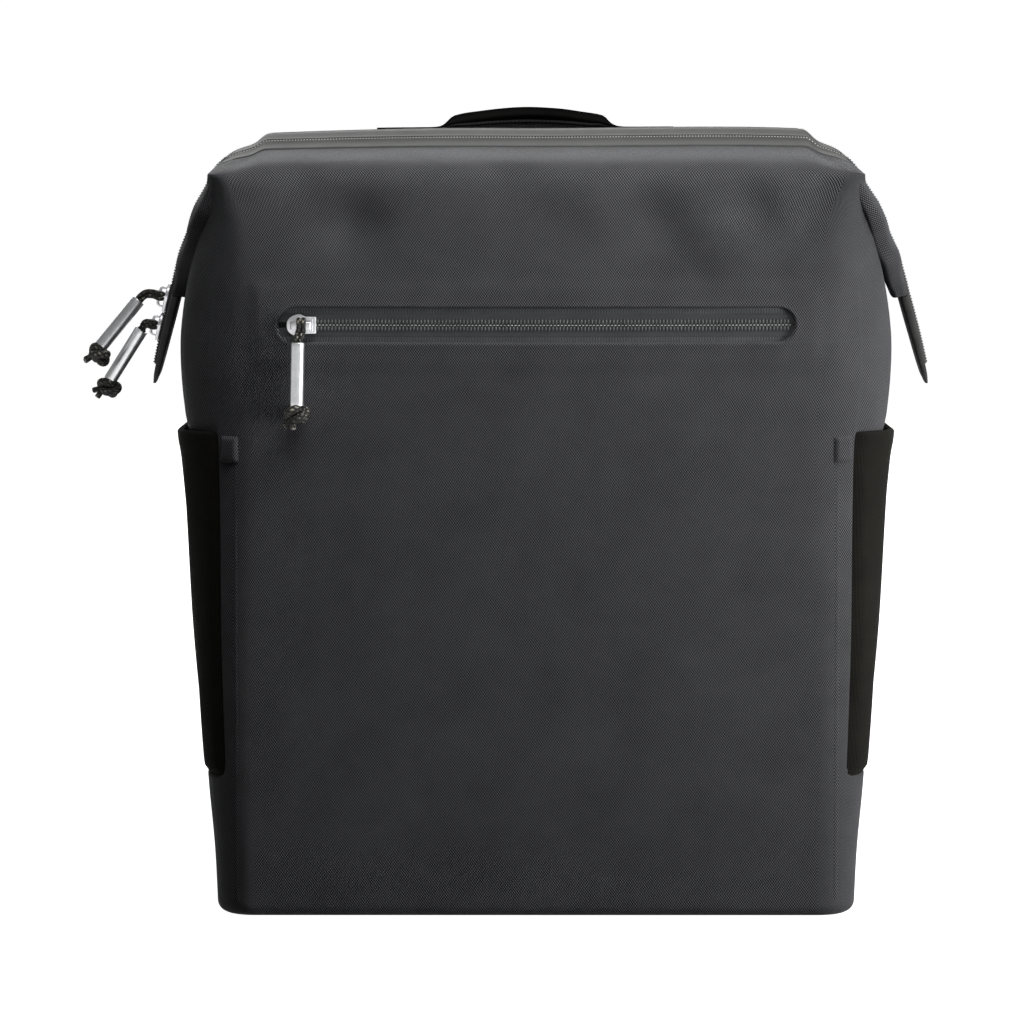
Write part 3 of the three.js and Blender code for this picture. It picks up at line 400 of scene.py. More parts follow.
def map_of(grid):
    """Lengths along and across a grid of points, for its weave map."""
    along = np.linalg.norm(np.diff(grid, axis=0), axis=-1).mean(1)
    across = np.linalg.norm(np.diff(grid, axis=1), axis=-1).mean(0)
    v = np.concatenate([[0], np.cumsum(along)])
    u = np.concatenate([[0], np.cumsum(across)])
    u = u - u[-1] / 2
    return np.stack(np.meshgrid(u, v), -1).reshape(-1, 2)


def surface(name, grid, look, wrap=False):
    rows, columns = grid.shape[:2]
    points = grid.reshape(-1, 3)
    return mesh_object(name, points, grid_faces(rows, columns, wrap), look, map_of(grid))


def frames_along(points, beside):
    """The way along, beside and out at each place of a line, with beside kept near one direction."""
    along = unit(np.gradient(points, axis=0))
    beside = np.broadcast_to(np.asarray(beside, float), along.shape)
    beside = unit(beside - along * np.sum(along * beside, -1, keepdims=True))
    return along, beside, np.cross(along, beside)


def tube_grid(points, radius, sides=12, beside=(0.31, 0.2, 0.93)):
    points = np.asarray(points, float)
    _, first, second = frames_along(points, beside)
    angle = np.linspace(0, 2 * math.pi, sides, endpoint=False)
    radius = np.broadcast_to(np.asarray(radius, float), (len(points),))[:, None, None]
    ring = first[:, None] * np.cos(angle)[None, :, None] + second[:, None] * np.sin(angle)[None, :, None]
    return points[:, None] + ring * radius


def add_grid(parts, grid, wrap=True, capped=True):
    """Adds a grid's points, faces and weave map to the lists of a joined mesh."""
    points, faces, uvs = parts
    start = len(points)
    rows, columns = grid.shape[:2]
    points.extend(grid.reshape(-1, 3))
    faces.extend(tuple(i + start for i in f) for f in grid_faces(rows, columns, wrap))
    uvs.extend(map_of(grid))
    if capped:
        faces.append(tuple(start + i for i in range(columns))[::-1])
        faces.append(tuple(start + (rows - 1) * columns + i for i in range(columns)))


def joined(name, grids, look, wrap=True, capped=True):
    parts = ([], [], [])
    for grid in grids:
        add_grid(parts, grid, wrap, capped)
    return mesh_object(name, parts[0], parts[1], look, parts[2])


def rounded_band(stations, power=3.2, sides=28):
    """A closed band of rounded section. A station is a place, its ways across and out, and half its sizes."""
    angle = np.linspace(0, 2 * math.pi, sides, endpoint=False)
    c, s = np.cos(angle), np.sin(angle)
    a = np.sign(c) * np.abs(c) ** (2 / power)
    b = np.sign(s) * np.abs(s) ** (2 / power)
    at, across, out, wide, thick = stations
    return (
        at[:, None]
        + across[:, None] * (a[None, :, None] * wide[:, None, None])
        + out[:, None] * (b[None, :, None] * thick[:, None, None])
    )


def ride(piece, replaces=()):
    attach(piece, "root")
    if replaces:
        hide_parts(*replaces)
    return piece


# The body's form


def section_at(height):
    at = np.asarray(height, float) / CORNER_HEIGHT
    take = lambda column: between(BODY, BODY_COLUMNS, at, column)
    return {
        "half_width": take("width") * BODY_WIDTH / 2,
        "half_depth": take("depth") * BODY_DEPTH / 2,
        "corner": take("corner") * CORNER_RADIUS,
        "crown": take("crown"),
    }


def hollow_at(along, height):
    up = smooth(POCKET_BOTTOM, POCKET_BOTTOM + 4 * POCKET_ROOM, height)
    down = 1 - smooth(POCKET_FRONT_HEIGHT, POCKET_FRONT_HEIGHT + 2 * POCKET_ROOM, height)
    return POCKET_ROOM * up * down * (1 - smooth(0.6, 1, np.abs(along)))


def dent_at(x, height):
    total = 0
    for row in DENTS:
        across, up, spread, tall, tilt, depth = row
        turn = math.radians(tilt)
        dx = x - across * BODY_WIDTH
        dz = height - up * CORNER_HEIGHT
        along = dx * math.cos(turn) + dz * math.sin(turn)
        over = dz * math.cos(turn) - dx * math.sin(turn)
        reach = (along / (spread * BODY_WIDTH)) ** 2 + (over / (tall * CORNER_HEIGHT)) ** 2
        total = total + depth * np.exp(-reach)
    return total


def fold_at(x, height):
    """Shallow folds that fall from the top edge, and the swell between them."""
    total = 0
    for at, top, length, lean, wide, depth in FOLDS:
        drop = top - height
        middle = at + lean * drop
        across = (x - middle) / (wide * (1 + np.maximum(drop, 0) / 60))
        down = np.exp(-(((drop - length / 2) / (length / 1.6)) ** 2))
        total = total + depth * np.exp(-(across**2)) * down
    return total


def front_at(x, height):
    s = section_at(height)
    across = x / (1 - SIDE_CROWN * s["crown"] / s["half_width"])
    bulge = FRONT_CROWN * s["crown"] * (across / s["half_width"]) ** 2
    return -s["half_depth"] + bulge + dent_at(across, height)


def back_at(x, height):
    s = section_at(height)
    return s["half_depth"] - BACK_CROWN * s["crown"] * (x / s["half_width"]) ** 2


def roof_at(x, y):
    s = section_at(CORNER_HEIGHT)
    rise = between(ROOF, ROOF_COLUMNS, y / s["half_depth"], "rise")
    end = between(ROOF_ENDS, END_COLUMNS, np.abs(x) / s["half_width"], "rise")
    left = 1 - 0.13 * smooth(0.1, 0.85, -np.asarray(x) / s["half_width"])
    return CORNER_HEIGHT + RIDGE_RISE * rise * end * left


def ring_layout():
    """The columns round the body. Each is a share of the straight parts and of the corner radius."""
    turns = np.array([0, 6, 12, 18, 24, 29, 32, 34, 35, 36, 38, 41, 46, 52, 59, 66, 74, 82, 90.0])
    side = np.linspace(-1, 1, 44)[1:-1]
    back = np.linspace(1, -1, 56)[1:-1]
    fine = np.arange(0.835, 0.925, 0.003)
    front = np.unique(np.round(np.concatenate([np.linspace(-1, 1, 112)[1:-1], fine, -fine]), 5))
    columns = []

    def corner(x, y, start, ways):
        for turned in ways:
            angle = math.radians(start + turned)
            columns.append((x, y, math.cos(angle), math.sin(angle)))

    corner(1, -1, -90, turns)
    columns.extend((1, t, 1, 0) for t in side)
    corner(1, 1, 0, 90 - turns[::-1])
    columns.extend((t, 1, 0, 1) for t in back)
    corner(-1, 1, 90, turns)
    columns.extend((-1, -t, -1, 0) for t in side)
    corner(-1, -1, 180, 90 - turns[::-1])
    columns.extend((t, -1, 0, -1) for t in front)
    return np.array(columns)


def plan_ring(layout, height, inset=0.0):
    """The body's outline at a height, before anything is pressed into it."""
    s = section_at(height)
    half_width = s["half_width"] - inset
    half_depth = s["half_depth"] - inset
    corner = max(float(s["corner"]) - inset, 3)
    x = layout[:, 0] * (half_width - corner) + layout[:, 2] * corner
    y = layout[:, 1] * (half_depth - corner) + layout[:, 3] * corner
    crown = np.where(y < 0, FRONT_CROWN, BACK_CROWN) * s["crown"]
    out_x = x * (1 - SIDE_CROWN * s["crown"] * (y / half_depth) ** 2 / half_width)
    out_y = y * (1 - crown * (x / half_width) ** 2 / half_depth)
    straight = (half_width - corner, half_depth - corner)
    return out_x, out_y, x, y, straight, half_width


def stadium(x, z, length, height):
    """Distance from the edge of an upright-ended slot, below nought inside."""
    dx = np.maximum(np.abs(x) - (length - height) / 2, 0)
    return np.hypot(dx, z) - height / 2


def rounded_box(x, z, half_x, half_z, radius):
    dx = np.abs(x) - half_x + radius
    dz = np.abs(z) - half_z + radius
    outside = np.hypot(np.maximum(dx, 0), np.maximum(dz, 0))
    return outside + np.minimum(np.maximum(dx, dz), 0) - radius


def pocket_edge(layout, height):
    """Distance inside a pocket's sewn edge for each column at a height, above nought inside it."""
    s = section_at(height)
    corner = float(s["corner"])
    length = 2 * (float(s["half_depth"]) - corner)
    angle = np.degrees(np.arctan2(layout[:, 3], np.abs(layout[:, 2])))
    in_corner = np.abs(layout[:, 1]) == 1
    near = np.radians(angle + 90 - POCKET_FRONT_TURN) * corner
    along = (90 - POCKET_FRONT_TURN) * math.pi / 180 * corner + (layout[:, 1] + 1) / 2 * length
    a = np.where(in_corner & (layout[:, 1] < 0), near, along)
    far = (90 - POCKET_FRONT_TURN) * math.pi / 180 * corner + length
    a = np.where(in_corner & (layout[:, 1] > 0), far + np.radians(angle) * corner, a)
    a = np.where(np.abs(layout[:, 2]) < 0.02, np.where(layout[:, 1] < 0, -50.0, far + 50), a)
    middle = far / 2
    top = POCKET_FRONT_HEIGHT + 60
    z_mid = (POCKET_BOTTOM + top) / 2
    return -rounded_box(a - middle, height - z_mid, far / 2, (top - POCKET_BOTTOM) / 2, 6)


def press(x, y, z, layout, straight, half_width, out_x):
    """How far each place of a ring is pressed in along x and y: hollows, dents, the zip window and seams."""
    on_side = smooth(straight[0], half_width, np.abs(x))
    in_x = hollow_at(y / straight[1], z) * on_side
    on_front = smooth(0, straight[1], -y)
    in_y = (dent_at(x, z) * 1.25 + fold_at(x, z)) * on_front
    facing = (layout[:, 1] == -1) & (layout[:, 2] == 0)
    window = stadium(out_x, z - FRONT_ZIP_CENTRE, FRONT_ZIP_LENGTH, FRONT_ZIP_HEIGHT)
    recess = (FRONT_ZIP_RECESS + 1.2) * (1 - smooth(-0.7, 0.1, window))
    lip = -0.35 * np.exp(-((window - 1.1) ** 2) / 0.9) * (window > 0)
    patch = rounded_box(out_x + 1, z - 277, 133, 19.5, 4)
    raised = -1.0 * (1 - smooth(-0.7, 0.2, patch))
    in_y = in_y + np.where(facing, recess + lip + raised, 0)
    return in_x, in_y


def body_levels():
    return np.unique(
        np.concatenate(
            [
                [7, 9.5, 13, 18, 24, 30, 36, 42, 48, 52],
                np.arange(54, 67, 1.1),
                np.arange(68, 200, 5.5),
                np.arange(200, 232, 2.2),
                np.arange(233, 266.5, 3.2),
                np.arange(267, 287, 0.55),
                np.arange(288, 346, 2.1),
                [CORNER_HEIGHT],
            ]
        )
    )


def body_grid():
    layout = ring_layout()
    rings = []
    for inset in (60, 25, 12):
        x, y, *_ = plan_ring(layout, 0.0, inset)
        rings.append(np.stack([x, y, np.zeros_like(x)], -1))
    for angle in (90, 72, 54, 36, 18, 0):
        turn = math.radians(angle)
        height = BASE_EDGE * (1 - math.sin(turn))
        x, y, *_ = plan_ring(layout, height, BASE_EDGE * (1 - math.cos(turn)))
        rings.append(np.stack([x, y, np.full_like(x, height)], -1))
    for height in body_levels():
        out_x, out_y, x, y, straight, half_width = plan_ring(layout, height)
        in_x, in_y = press(x, y, height, layout, straight, half_width, out_x)
        below_rim = 1 - smooth(POCKET_FRONT_HEIGHT - 7, POCKET_FRONT_HEIGHT + 9, height)
        sunk = POCKET_SEAM_DEPTH * smooth(0.2, 1.1, pocket_edge(layout, height)) * below_rim
        outward = np.stack([layout[:, 2], layout[:, 3]], -1)
        px = out_x - np.sign(x) * in_x - outward[:, 0] * sunk
        py = out_y + in_y - outward[:, 1] * sunk
        rings.append(np.stack([px, py, np.full_like(px, height)], -1))
    rim = rings[-1]
    ridge = ROOF_ENDS[1][0]
    half_width = float(section_at(CORNER_HEIGHT)["half_width"])
    for step in TOP_STEPS:
        x = rim[:, 0] * (1 - step * (1 - ridge) * np.abs(rim[:, 0] / half_width))
        y = rim[:, 1] * (1 - step)
        rings.append(np.stack([x, y, roof_at(x, y)], -1))
    return np.array(rings), layout


def soften_top_edge(grid, layout):
    """Rounds the bend from the front and back into the top, less so towards the corners."""
    edge = len(grid) - len(TOP_STEPS) - 1
    first = int(np.searchsorted(grid[: edge + 1, 0, 2], 326))
    for _ in range(30):
        mean = grid.copy()
        mean[1:-1] = (grid[:-2] + grid[2:]) / 2
        near = np.exp(-(((np.arange(len(grid)) - edge) / 7.0) ** 2))[:, None]
        half = np.abs(grid[..., 0]) / (BODY_WIDTH / 2)
        loose = 1 - smooth(0.7, 0.9, half)
        share = (near * loose)[..., None]
        share[:first] = 0
        grid += (mean - grid) * share * 0.5
    return grid


# Materials


class Look:
    """A material with a few words for making its nodes."""

    def __init__(self, name):
        self.material = bpy.data.materials.new(name)
        self.material.use_nodes = True
        self.tree = self.material.node_tree
        self.shader = self.tree.nodes["Principled BSDF"]

    def node(self, kind, settings=None, **inputs):
        made = self.tree.nodes.new(kind)
        for key, value in (settings or {}).items():
            setattr(made, key, value)
        for key, value in inputs.items():
            socket = made.inputs[int(key[1:])] if key[1:].isdigit() else made.inputs[key.replace("_", " ")]
            if isinstance(value, bpy.types.NodeSocket):
                self.tree.links.new(value, socket)
            else:
                socket.default_value = value
        return made

    def math(self, operation, *values):
        named = {f"i{n}": value for n, value in enumerate(values)}
        return self.node("ShaderNodeMath", {"operation": operation}, **named).outputs[0]

    def ramp(self, factor, *stops):
        made = self.node("ShaderNodeValToRGB", i0=factor)
        ramp = made.color_ramp
        while len(ramp.elements) < len(stops):
            ramp.elements.new(0.5)
        for element, (place, value) in zip(ramp.elements, stops):
            element.position = place
            element.color = (*value, 1) if len(value) == 3 else value
        return made.outputs["Color"]

    def mix(self, factor, first, second, blend="MIX"):
        made = self.node("ShaderNodeMix", {"data_type": "RGBA", "blend_type": blend})
        for socket, value in ((made.inputs[0], factor), (made.inputs[6], first), (made.inputs[7], second)):
            if isinstance(value, bpy.types.NodeSocket):
                self.tree.links.new(value, socket)
            else:
                socket.default_value = value if isinstance(value, (int, float)) else (*value, 1)
        return made.outputs[2]

    def noise(self, scale, detail=3, roughness=0.5, coordinates=None):
        made = self.node("ShaderNodeTexNoise", Scale=scale, Detail=detail, Roughness=roughness)
        source = coordinates or self.node("ShaderNodeTexCoord").outputs["Object"]
        self.tree.links.new(source, made.inputs["Vector"])
        return made.outputs["Fac"]

    def weave_map(self):
        source = self.node("ShaderNodeUVMap", {"uv_map": "weave"}).outputs[0]
        split = self.node("ShaderNodeSeparateXYZ", i0=source)
        return split.outputs[0], split.outputs[1]

    def wave(self, u, v, per_u, per_v):
        """A ripple from nought to one over the weave map, in turns per metre each way."""
        turns = [self.math("MULTIPLY", at, per * 2 * math.pi) for at, per in ((u, per_u), (v, per_v))]
        return self.math("MULTIPLY_ADD", self.math("SINE", self.math("ADD", *turns)), 0.5, 0.5)

    def spread(self, value, low, high):
        """Takes a value from nought to one to a range."""
        made = self.node("ShaderNodeMapRange", Value=value)
        made.inputs["To Min"].default_value = low
        made.inputs["To Max"].default_value = high
        return made.outputs[0]

    def part_of(self, first, share, second):
        """A share of the first value and the rest of the second."""
        return self.math("MULTIPLY_ADD", first, share, self.math("MULTIPLY", second, 1 - share))

    def bump(self, height, distance, strength=1.0, below=None):
        made = self.node("ShaderNodeBump", Height=height, Distance=distance, Strength=strength)
        if below is not None:
            self.tree.links.new(below, made.inputs["Normal"])
        return made.outputs[0]

    def finish(self, color=None, roughness=None, normal=None, **values):
        for name, value in (("Base Color", color), ("Roughness", roughness), ("Normal", normal)):
            if isinstance(value, bpy.types.NodeSocket):
                self.tree.links.new(value, self.shader.inputs[name])
            elif value is not None:
                self.shader.inputs[name].default_value = (*value, 1) if name == "Base Color" else value
        for name, value in values.items():
            self.shader.inputs[name.replace("_", " ")].default_value = value
        return self.material


def tint(color, share):
    return tuple(c * share for c in color)


def twill(name, dark, light, roughness=(0.5, 0.66)):
    """Coated twill: fine diagonal ribs crossed by the warp, with a faint cloudiness."""
    look = Look(name)
    u, v = look.weave_map()
    rib = look.wave(u, v, 900, 640)
    cross = look.wave(u, v, -820, 560)
    thread = look.part_of(rib, 0.6, cross)
    cloud = look.noise(38, 4, 0.6)
    worn = look.noise(420, 2, 0.5)
    shade = look.math("ADD", thread, look.math("MULTIPLY_ADD", cloud, 0.24, -0.12))
    middle = tuple((a + b) * 0.4 for a, b in zip(dark, light))
    color = look.ramp(shade, (0.22, dark), (0.5, middle), (0.82, light))
    rough = look.spread(look.part_of(worn, 0.5, thread), roughness[1], roughness[0])
    normal = look.bump(thread, 0.0003, 0.9, look.bump(cloud, 0.0006, 0.35))
    return look.finish(color, rough, normal, Specular_IOR_Level=0.03, Sheen_Weight=0.03, Sheen_Roughness=0.5)


def coated(name, color, ribs=0, roughness=0.5, across=False):
    """Smooth coated tape. ribs is how many fine ribs there are in a metre."""
    look = Look(name)
    u, v = look.weave_map()
    fine = look.noise(900, 3, 0.6)
    cloud = look.noise(60, 3, 0.5)
    tone = look.ramp(look.part_of(fine, 0.4, cloud), (0.3, tint(color, 0.75)), (0.7, tint(color, 1.25)))
    normal = look.bump(fine, 0.00005, 0.6)
    if ribs:
        wave = look.wave(u, v, ribs, 0) if across else look.wave(u, v, 0, ribs)
        normal = look.bump(wave, 0.00018, 0.7, normal)
    rough = look.spread(fine, roughness - 0.08, roughness + 0.12)
    return look.finish(tone, rough, normal, Specular_IOR_Level=0.22)


def knit(name, dark, light, ribs, rows=0, roughness=0.85):
    """Ribbed or fine knitted fabric. ribs and rows are how many there are in a metre."""
    look = Look(name)
    u, v = look.weave_map()
    rib = look.wave(u, v, ribs, 0)
    cross = look.wave(u, v, 0, rows or ribs)
    thread = look.math("MULTIPLY", rib, look.math("MULTIPLY_ADD", cross, 0.5, 0.5))
    cloud = look.noise(70, 3, 0.55)
    color = look.ramp(look.part_of(cloud, 0.4, thread), (0.15, dark), (0.85, light))
    normal = look.bump(thread, 0.00022, 0.8, look.bump(cloud, 0.0005, 0.3))
    rough = look.spread(cloud, roughness - 0.12, roughness + 0.08)
    return look.finish(color, rough, normal, Specular_IOR_Level=0.02, Sheen_Weight=0.02, Sheen_Roughness=0.5)


def webbing(name, dark, light):
    """Flat webbing: close ribs along it, crossed by a herringbone."""
    look = Look(name)
    u, v = look.weave_map()
    ribs = look.wave(u, v, 640, 0)
    bone = look.wave(look.math("PINGPONG", u, 0.003), v, 520, 520)
    thread = look.math("MULTIPLY", ribs, look.math("MULTIPLY_ADD", bone, 0.6, 0.4))
    cloud = look.noise(120, 3, 0.6)
    color = look.ramp(look.part_of(cloud, 0.3, thread), (0.1, dark), (0.9, light))
    rough = look.spread(thread, 0.8, 0.6)
    normal = look.bump(thread, 0.0003, 0.8)
    return look.finish(color, rough, normal, Specular_IOR_Level=0.05, Sheen_Weight=0.03)


def braid(name):
    """Dark braided cord with pale flecks where single strands cross."""
    look = Look(name)
    u, v = look.weave_map()
    one = look.wave(u, v, 420, 330)
    two = look.wave(u, v, -420, 330)
    strand = look.math("MULTIPLY", one, two)
    fleck = look.math("GREATER_THAN", look.noise(640, 2, 0.5), 0.585)
    pale = look.math("MULTIPLY", fleck, look.math("GREATER_THAN", strand, 0.16))
    base = look.ramp(strand, (0.05, (0.004, 0.004, 0.0035)), (0.8, (0.045, 0.043, 0.037)))
    color = look.mix(pale, base, (0.4, 0.37, 0.3))
    return look.finish(color, look.spread(strand, 0.85, 0.6), look.bump(strand, 0.0003, 0.9))


def metal(name, color, roughness, stretch):
    """Satin metal with a fine grain, and a little tarnish and wear."""
    look = Look(name)
    place = look.node("ShaderNodeTexCoord").outputs["Object"]
    grain_place = look.node("ShaderNodeMapping", i0=place)
    grain_place.inputs["Scale"].default_value = stretch
    grain = look.noise(1, 3, 0.6, grain_place.outputs[0])
    stain = look.noise(260, 4, 0.6)
    shade = look.ramp(look.part_of(grain, 0.35, stain), (0.3, tint(color, 0.8)), (0.6, color))
    rough = look.spread(look.part_of(grain, 0.6, stain), roughness - 0.08, roughness + 0.14)
    return look.finish(shade, rough, look.bump(grain, 0.00002, 0.5), Metallic=1.0)


def plastic(name, color, roughness):
    look = Look(name)
    fine = look.noise(1400, 2, 0.5)
    cloud = look.noise(90, 3, 0.5)
    tone = look.ramp(cloud, (0.3, tint(color, 0.8)), (0.7, tint(color, 1.3)))
    rough = look.spread(look.part_of(fine, 0.5, cloud), roughness - 0.08, roughness + 0.12)
    return look.finish(tone, rough, look.bump(fine, 0.00004, 0.5))


LOOKS = {
    "body_fabric": twill("body_fabric", (0.002, 0.002, 0.0026), (0.15, 0.151, 0.16)),
    "zip_tape": coated("zip_tape", (0.05, 0.053, 0.054), 0, 0.5),
    "ribbed_tape": coated("ribbed_tape", (0.075, 0.079, 0.08), 770, 0.42, True),
    "top_tape": coated("top_tape", (0.052, 0.0525, 0.05), 0, 0.6),
    "coil": plastic("coil", (0.085, 0.088, 0.09), 0.32),
    # The pale coil is the coil plastic painted light grey as a painted highlight where the teeth catch the
    # light
    "coil_highlight": plastic("coil_highlight", (0.6, 0.6, 0.58), 0.4),
    "slider_metal": metal("slider_metal", (0.66, 0.66, 0.68), 0.34, (900, 900, 900)),
    "pull_metal": metal("pull_metal", (0.74, 0.75, 0.76), 0.3, (1500, 1500, 60)),
    "pull_cord": braid("pull_cord"),
    "cord_end": plastic("cord_end", (0.5, 0.48, 0.42), 0.7),
    "tab_rubber": plastic("tab_rubber", (0.004, 0.0042, 0.0035), 0.75),
    "pocket_fabric": knit("pocket_fabric", (0.004, 0.004, 0.0036), (0.027, 0.026, 0.022), 1500, 1100),
    "handle_knit": knit("handle_knit", (0.001, 0.001, 0.001), (0.01, 0.0105, 0.0095), 260, 900),
    "webbing": webbing("webbing", (0.004, 0.004, 0.004), (0.03, 0.03, 0.03)),
    "strap_fabric": knit("strap_fabric", (0.004, 0.004, 0.004), (0.03, 0.03, 0.031), 700, 700),
    "buckle_plastic": plastic("buckle_plastic", (0.012, 0.012, 0.012), 0.42),
    "shadow": plastic("shadow", (0.002, 0.002, 0.002), 0.9),
}


# The camera and the light


def make_camera():
    data = bpy.data.cameras.new("camera")
    data.sensor_width = 36
    data.lens = FOCAL_PIXELS / IMAGE_PIXELS * 36
    data.clip_end = 100
    camera = bpy.data.objects.new("camera", data)
    camera.location = CAMERA_PLACE
    camera.rotation_euler = (math.pi / 2 - CAMERA_PITCH, 0, CAMERA_TURN)
    bpy.context.scene.collection.objects.link(camera)
    bpy.context.scene.camera = camera


def soft_light(name, place, target, size, power):
    data = bpy.data.lights.new(name, "AREA")
    data.shape = "RECTANGLE"
    data.size, data.size_y = size
    data.energy = power
    lamp = bpy.data.objects.new(name, data)
    lamp.location = place
    lamp.visible_camera = False
    lamp.rotation_euler = (Vector(target) - Vector(place)).to_track_quat("-Z", "Y").to_euler()
    bpy.context.scene.collection.objects.link(lamp)


def make_light():
    world = bpy.data.worlds.new("world")
    bpy.context.scene.world = world
    world.use_nodes = True
    tree = world.node_tree
    tree.nodes.clear()
    path = tree.nodes.new("ShaderNodeLightPath")
    seen = tree.nodes.new("ShaderNodeBackground")
    seen.inputs[0].default_value = (1, 1, 1, 1)
    seen.inputs[1].default_value = 1.0
    around = tree.nodes.new("ShaderNodeBackground")
    around.inputs[0].default_value = (0.9, 0.95, 1, 1)
    around.inputs[1].default_value = 0.008
    shine = tree.nodes.new("ShaderNodeBackground")
    shine.inputs[1].default_value = 0.3
    shiny = tree.nodes.new("ShaderNodeMixShader")
    mixed = tree.nodes.new("ShaderNodeMixShader")
    out = tree.nodes.new("ShaderNodeOutputWorld")
    tree.links.new(path.outputs["Is Camera Ray"], mixed.inputs[0])
    tree.links.new(path.outputs["Is Glossy Ray"], shiny.inputs[0])
    tree.links.new(around.outputs[0], shiny.inputs[1])
    tree.links.new(shine.outputs[0], shiny.inputs[2])
    tree.links.new(shiny.outputs[0], mixed.inputs[1])
    tree.links.new(seen.outputs[0], mixed.inputs[2])
    tree.links.new(mixed.outputs[0], out.inputs[0])
    soft_light("near", (0.6, -0.34, 0.22), (0, -0.05, 0.16), (0.22, 0.3), 3.5)
    soft_light("over", (0.05, -0.25, 0.66), (0, -0.1, 0.3), (0.5, 0.12), 1.8)
    soft_light("top", (0.4, 0.1, 1.8), (0, 0, 0.3), (1.4, 0.8), 6.2)
    soft_light("side", (1.7, 0.1, 0.4), (0, 0, 0.2), (0.6, 0.9), 6)
    soft_light("back", (-0.2, 1.9, 1.0), (0, 0, 0.2), (1.6, 1.0), 20)


def make_floor():
    """A pale sweep, bright enough to read as a white studio floor."""
    look = Look("floor")
    shade = look.noise(3, 2, 0.5)
    color = look.ramp(shade, (0, (0.86, 0.86, 0.86)), (1, (0.9, 0.9, 0.9)))
    look.finish(color, 0.9)
    look.shader.inputs["Emission Color"].default_value = (1, 1, 1, 1)
    look.shader.inputs["Emission Strength"].default_value = 1.0
    mesh = bpy.data.meshes.new("floor")
    reach = 30
    corners = [(-reach, -reach, 0), (reach, -reach, 0), (reach, reach, 0), (-reach, reach, 0)]
    mesh.from_pydata(corners, [], [(0, 1, 2, 3)])
    mesh.materials.append(look.material)
    floor = bpy.data.objects.new("floor", mesh)
    floor.location.z = -0.0006
    floor.visible_diffuse = False
    bpy.context.scene.collection.objects.link(floor)


# Where the sliders sit


def wing_out(down, side):
    """The way out of a wing, square to the way down it."""
    return np.stack([-down[:, 2] * side, np.zeros(len(down)), down[:, 0] * side], -1)


def wing_rows(side):
    """The outer line of a wing, down its ear and then its tab, with the way out at each place."""
    hinge = (float(section_at(CORNER_HEIGHT)["half_width"]) - EAR_FOLD_INSET) * side
    reach, further = EAR_REACH[side], TAB_REACH[side]
    rows = [(hinge + side * out * reach, CORNER_HEIGHT - drop * EAR_DROP) for drop, out, _ in EAR]
    rows += [
        (hinge + side * (reach + out * further), CORNER_HEIGHT - EAR_DROP - drop * TAB_DROP)
        for drop, out, _, _ in TAB[1:]
    ]
    places = np.array([(x, 0, z) for x, z in rows])
    before = np.vstack([places[:1], places[:-1]])
    after = np.vstack([places[1:], places[-1:]])
    down = unit(after - before)
    return places, wing_out(down, side)


def along_wing(places, side, count, *sizes):
    """Even places down a part of a wing, how far down they are, the way out, and each size there."""
    length = run_of(places)
    at = np.linspace(0, length[-1], count)
    table = np.column_stack([length, places, *sizes])
    names = ("length", "x", "y", "z", *range(len(sizes)))
    take = lambda column: between(table, names, at, column)
    points = np.stack([take(axis) for axis in "xyz"], -1)
    down = unit(np.gradient(points, axis=0))
    return points, at, wing_out(down, side), *[take(n) for n in range(len(sizes))]


def wing_at(side, height):
    places, outward = wing_rows(side)
    i = int(np.clip(np.argmax(places[:, 2] < height), 1, len(places) - 1))
    share = (places[i - 1, 2] - height) / (places[i - 1, 2] - places[i, 2])
    at = places[i - 1] + (places[i] - places[i - 1]) * share
    return np.array([at[0], 0, height]), unit(outward[i - 1] * (1 - share) + outward[i] * share)


def slider_frames():
    """For each slider, the place under its plate, the way along the zip, and the way out."""
    rise = FRONT_TAPE_DEPTH - CHAIN_RISE
    y = float(front_at(FRONT_SLIDER_AT, FRONT_ZIP_CENTRE)) + rise - GAP
    seat = np.array([FRONT_SLIDER_AT, y, FRONT_ZIP_CENTRE])
    found = {"front": (seat, np.array([1.0, 0, 0]), np.array([0, -1.0, 0]))}
    for name, drop in zip(("upper_wing", "lower_wing"), WING_SLIDER_DROPS):
        at, outward = wing_at(-1, CORNER_HEIGHT - drop)
        up = unit(np.cross(outward, (0, 1, 0)))
        found[name] = (at + outward * (CHAIN_RISE + GAP), up, outward)
    return found


# The pulls


def pull_line(row):
    """The cord's middle line from its bridge to its knot, and the way down through its tube."""
    top = np.array(row["tube_top"], float)
    down = unit(np.array(row["towards"], float) - top)
    end = PULL_LENGTH + GAP
    straight = [top + down * d for d in (0, end / 3, 2 * end / 3, end)]
    return through([*row["route"], *straight], 1.0), top, down


def doubled_cord(name, row, line):
    """Two legs of cord side by side along the middle line."""
    _, beside, _ = frames_along(line, row["beside"])
    leg = CORD_DIAMETER / 4
    grids = [tube_grid(line + beside * side * leg, leg * 1.02, 10, row["beside"]) for side in (-1, 1)]
    return joined(f"{name}_cord", grids, LOOKS["pull_cord"])


def bridge_loop(name, frame_of_slider):
    """The two turns of cord round the bar of the slider's bridge."""
    seat, along, out = frame_of_slider
    across = np.cross(out, along)
    leg = CORD_DIAMETER / 4
    centre = seat + out * (SLIDER_PLATE + BRIDGE_RISE - BRIDGE_BAR / 2)
    angle = np.linspace(0, 2 * math.pi, 33)
    wide = BRIDGE_WIDTH / 2 + leg
    deep = BRIDGE_BAR / 2 + leg
    grids = []
    for side in (-1, 1):
        turn = np.outer(np.cos(angle), across * wide) + np.outer(np.sin(angle), out * deep)
        grids.append(tube_grid(centre + along * side * leg + turn, leg, 10, along))
    return joined(f"{name}_loop", grids, LOOKS["pull_cord"], capped=False)


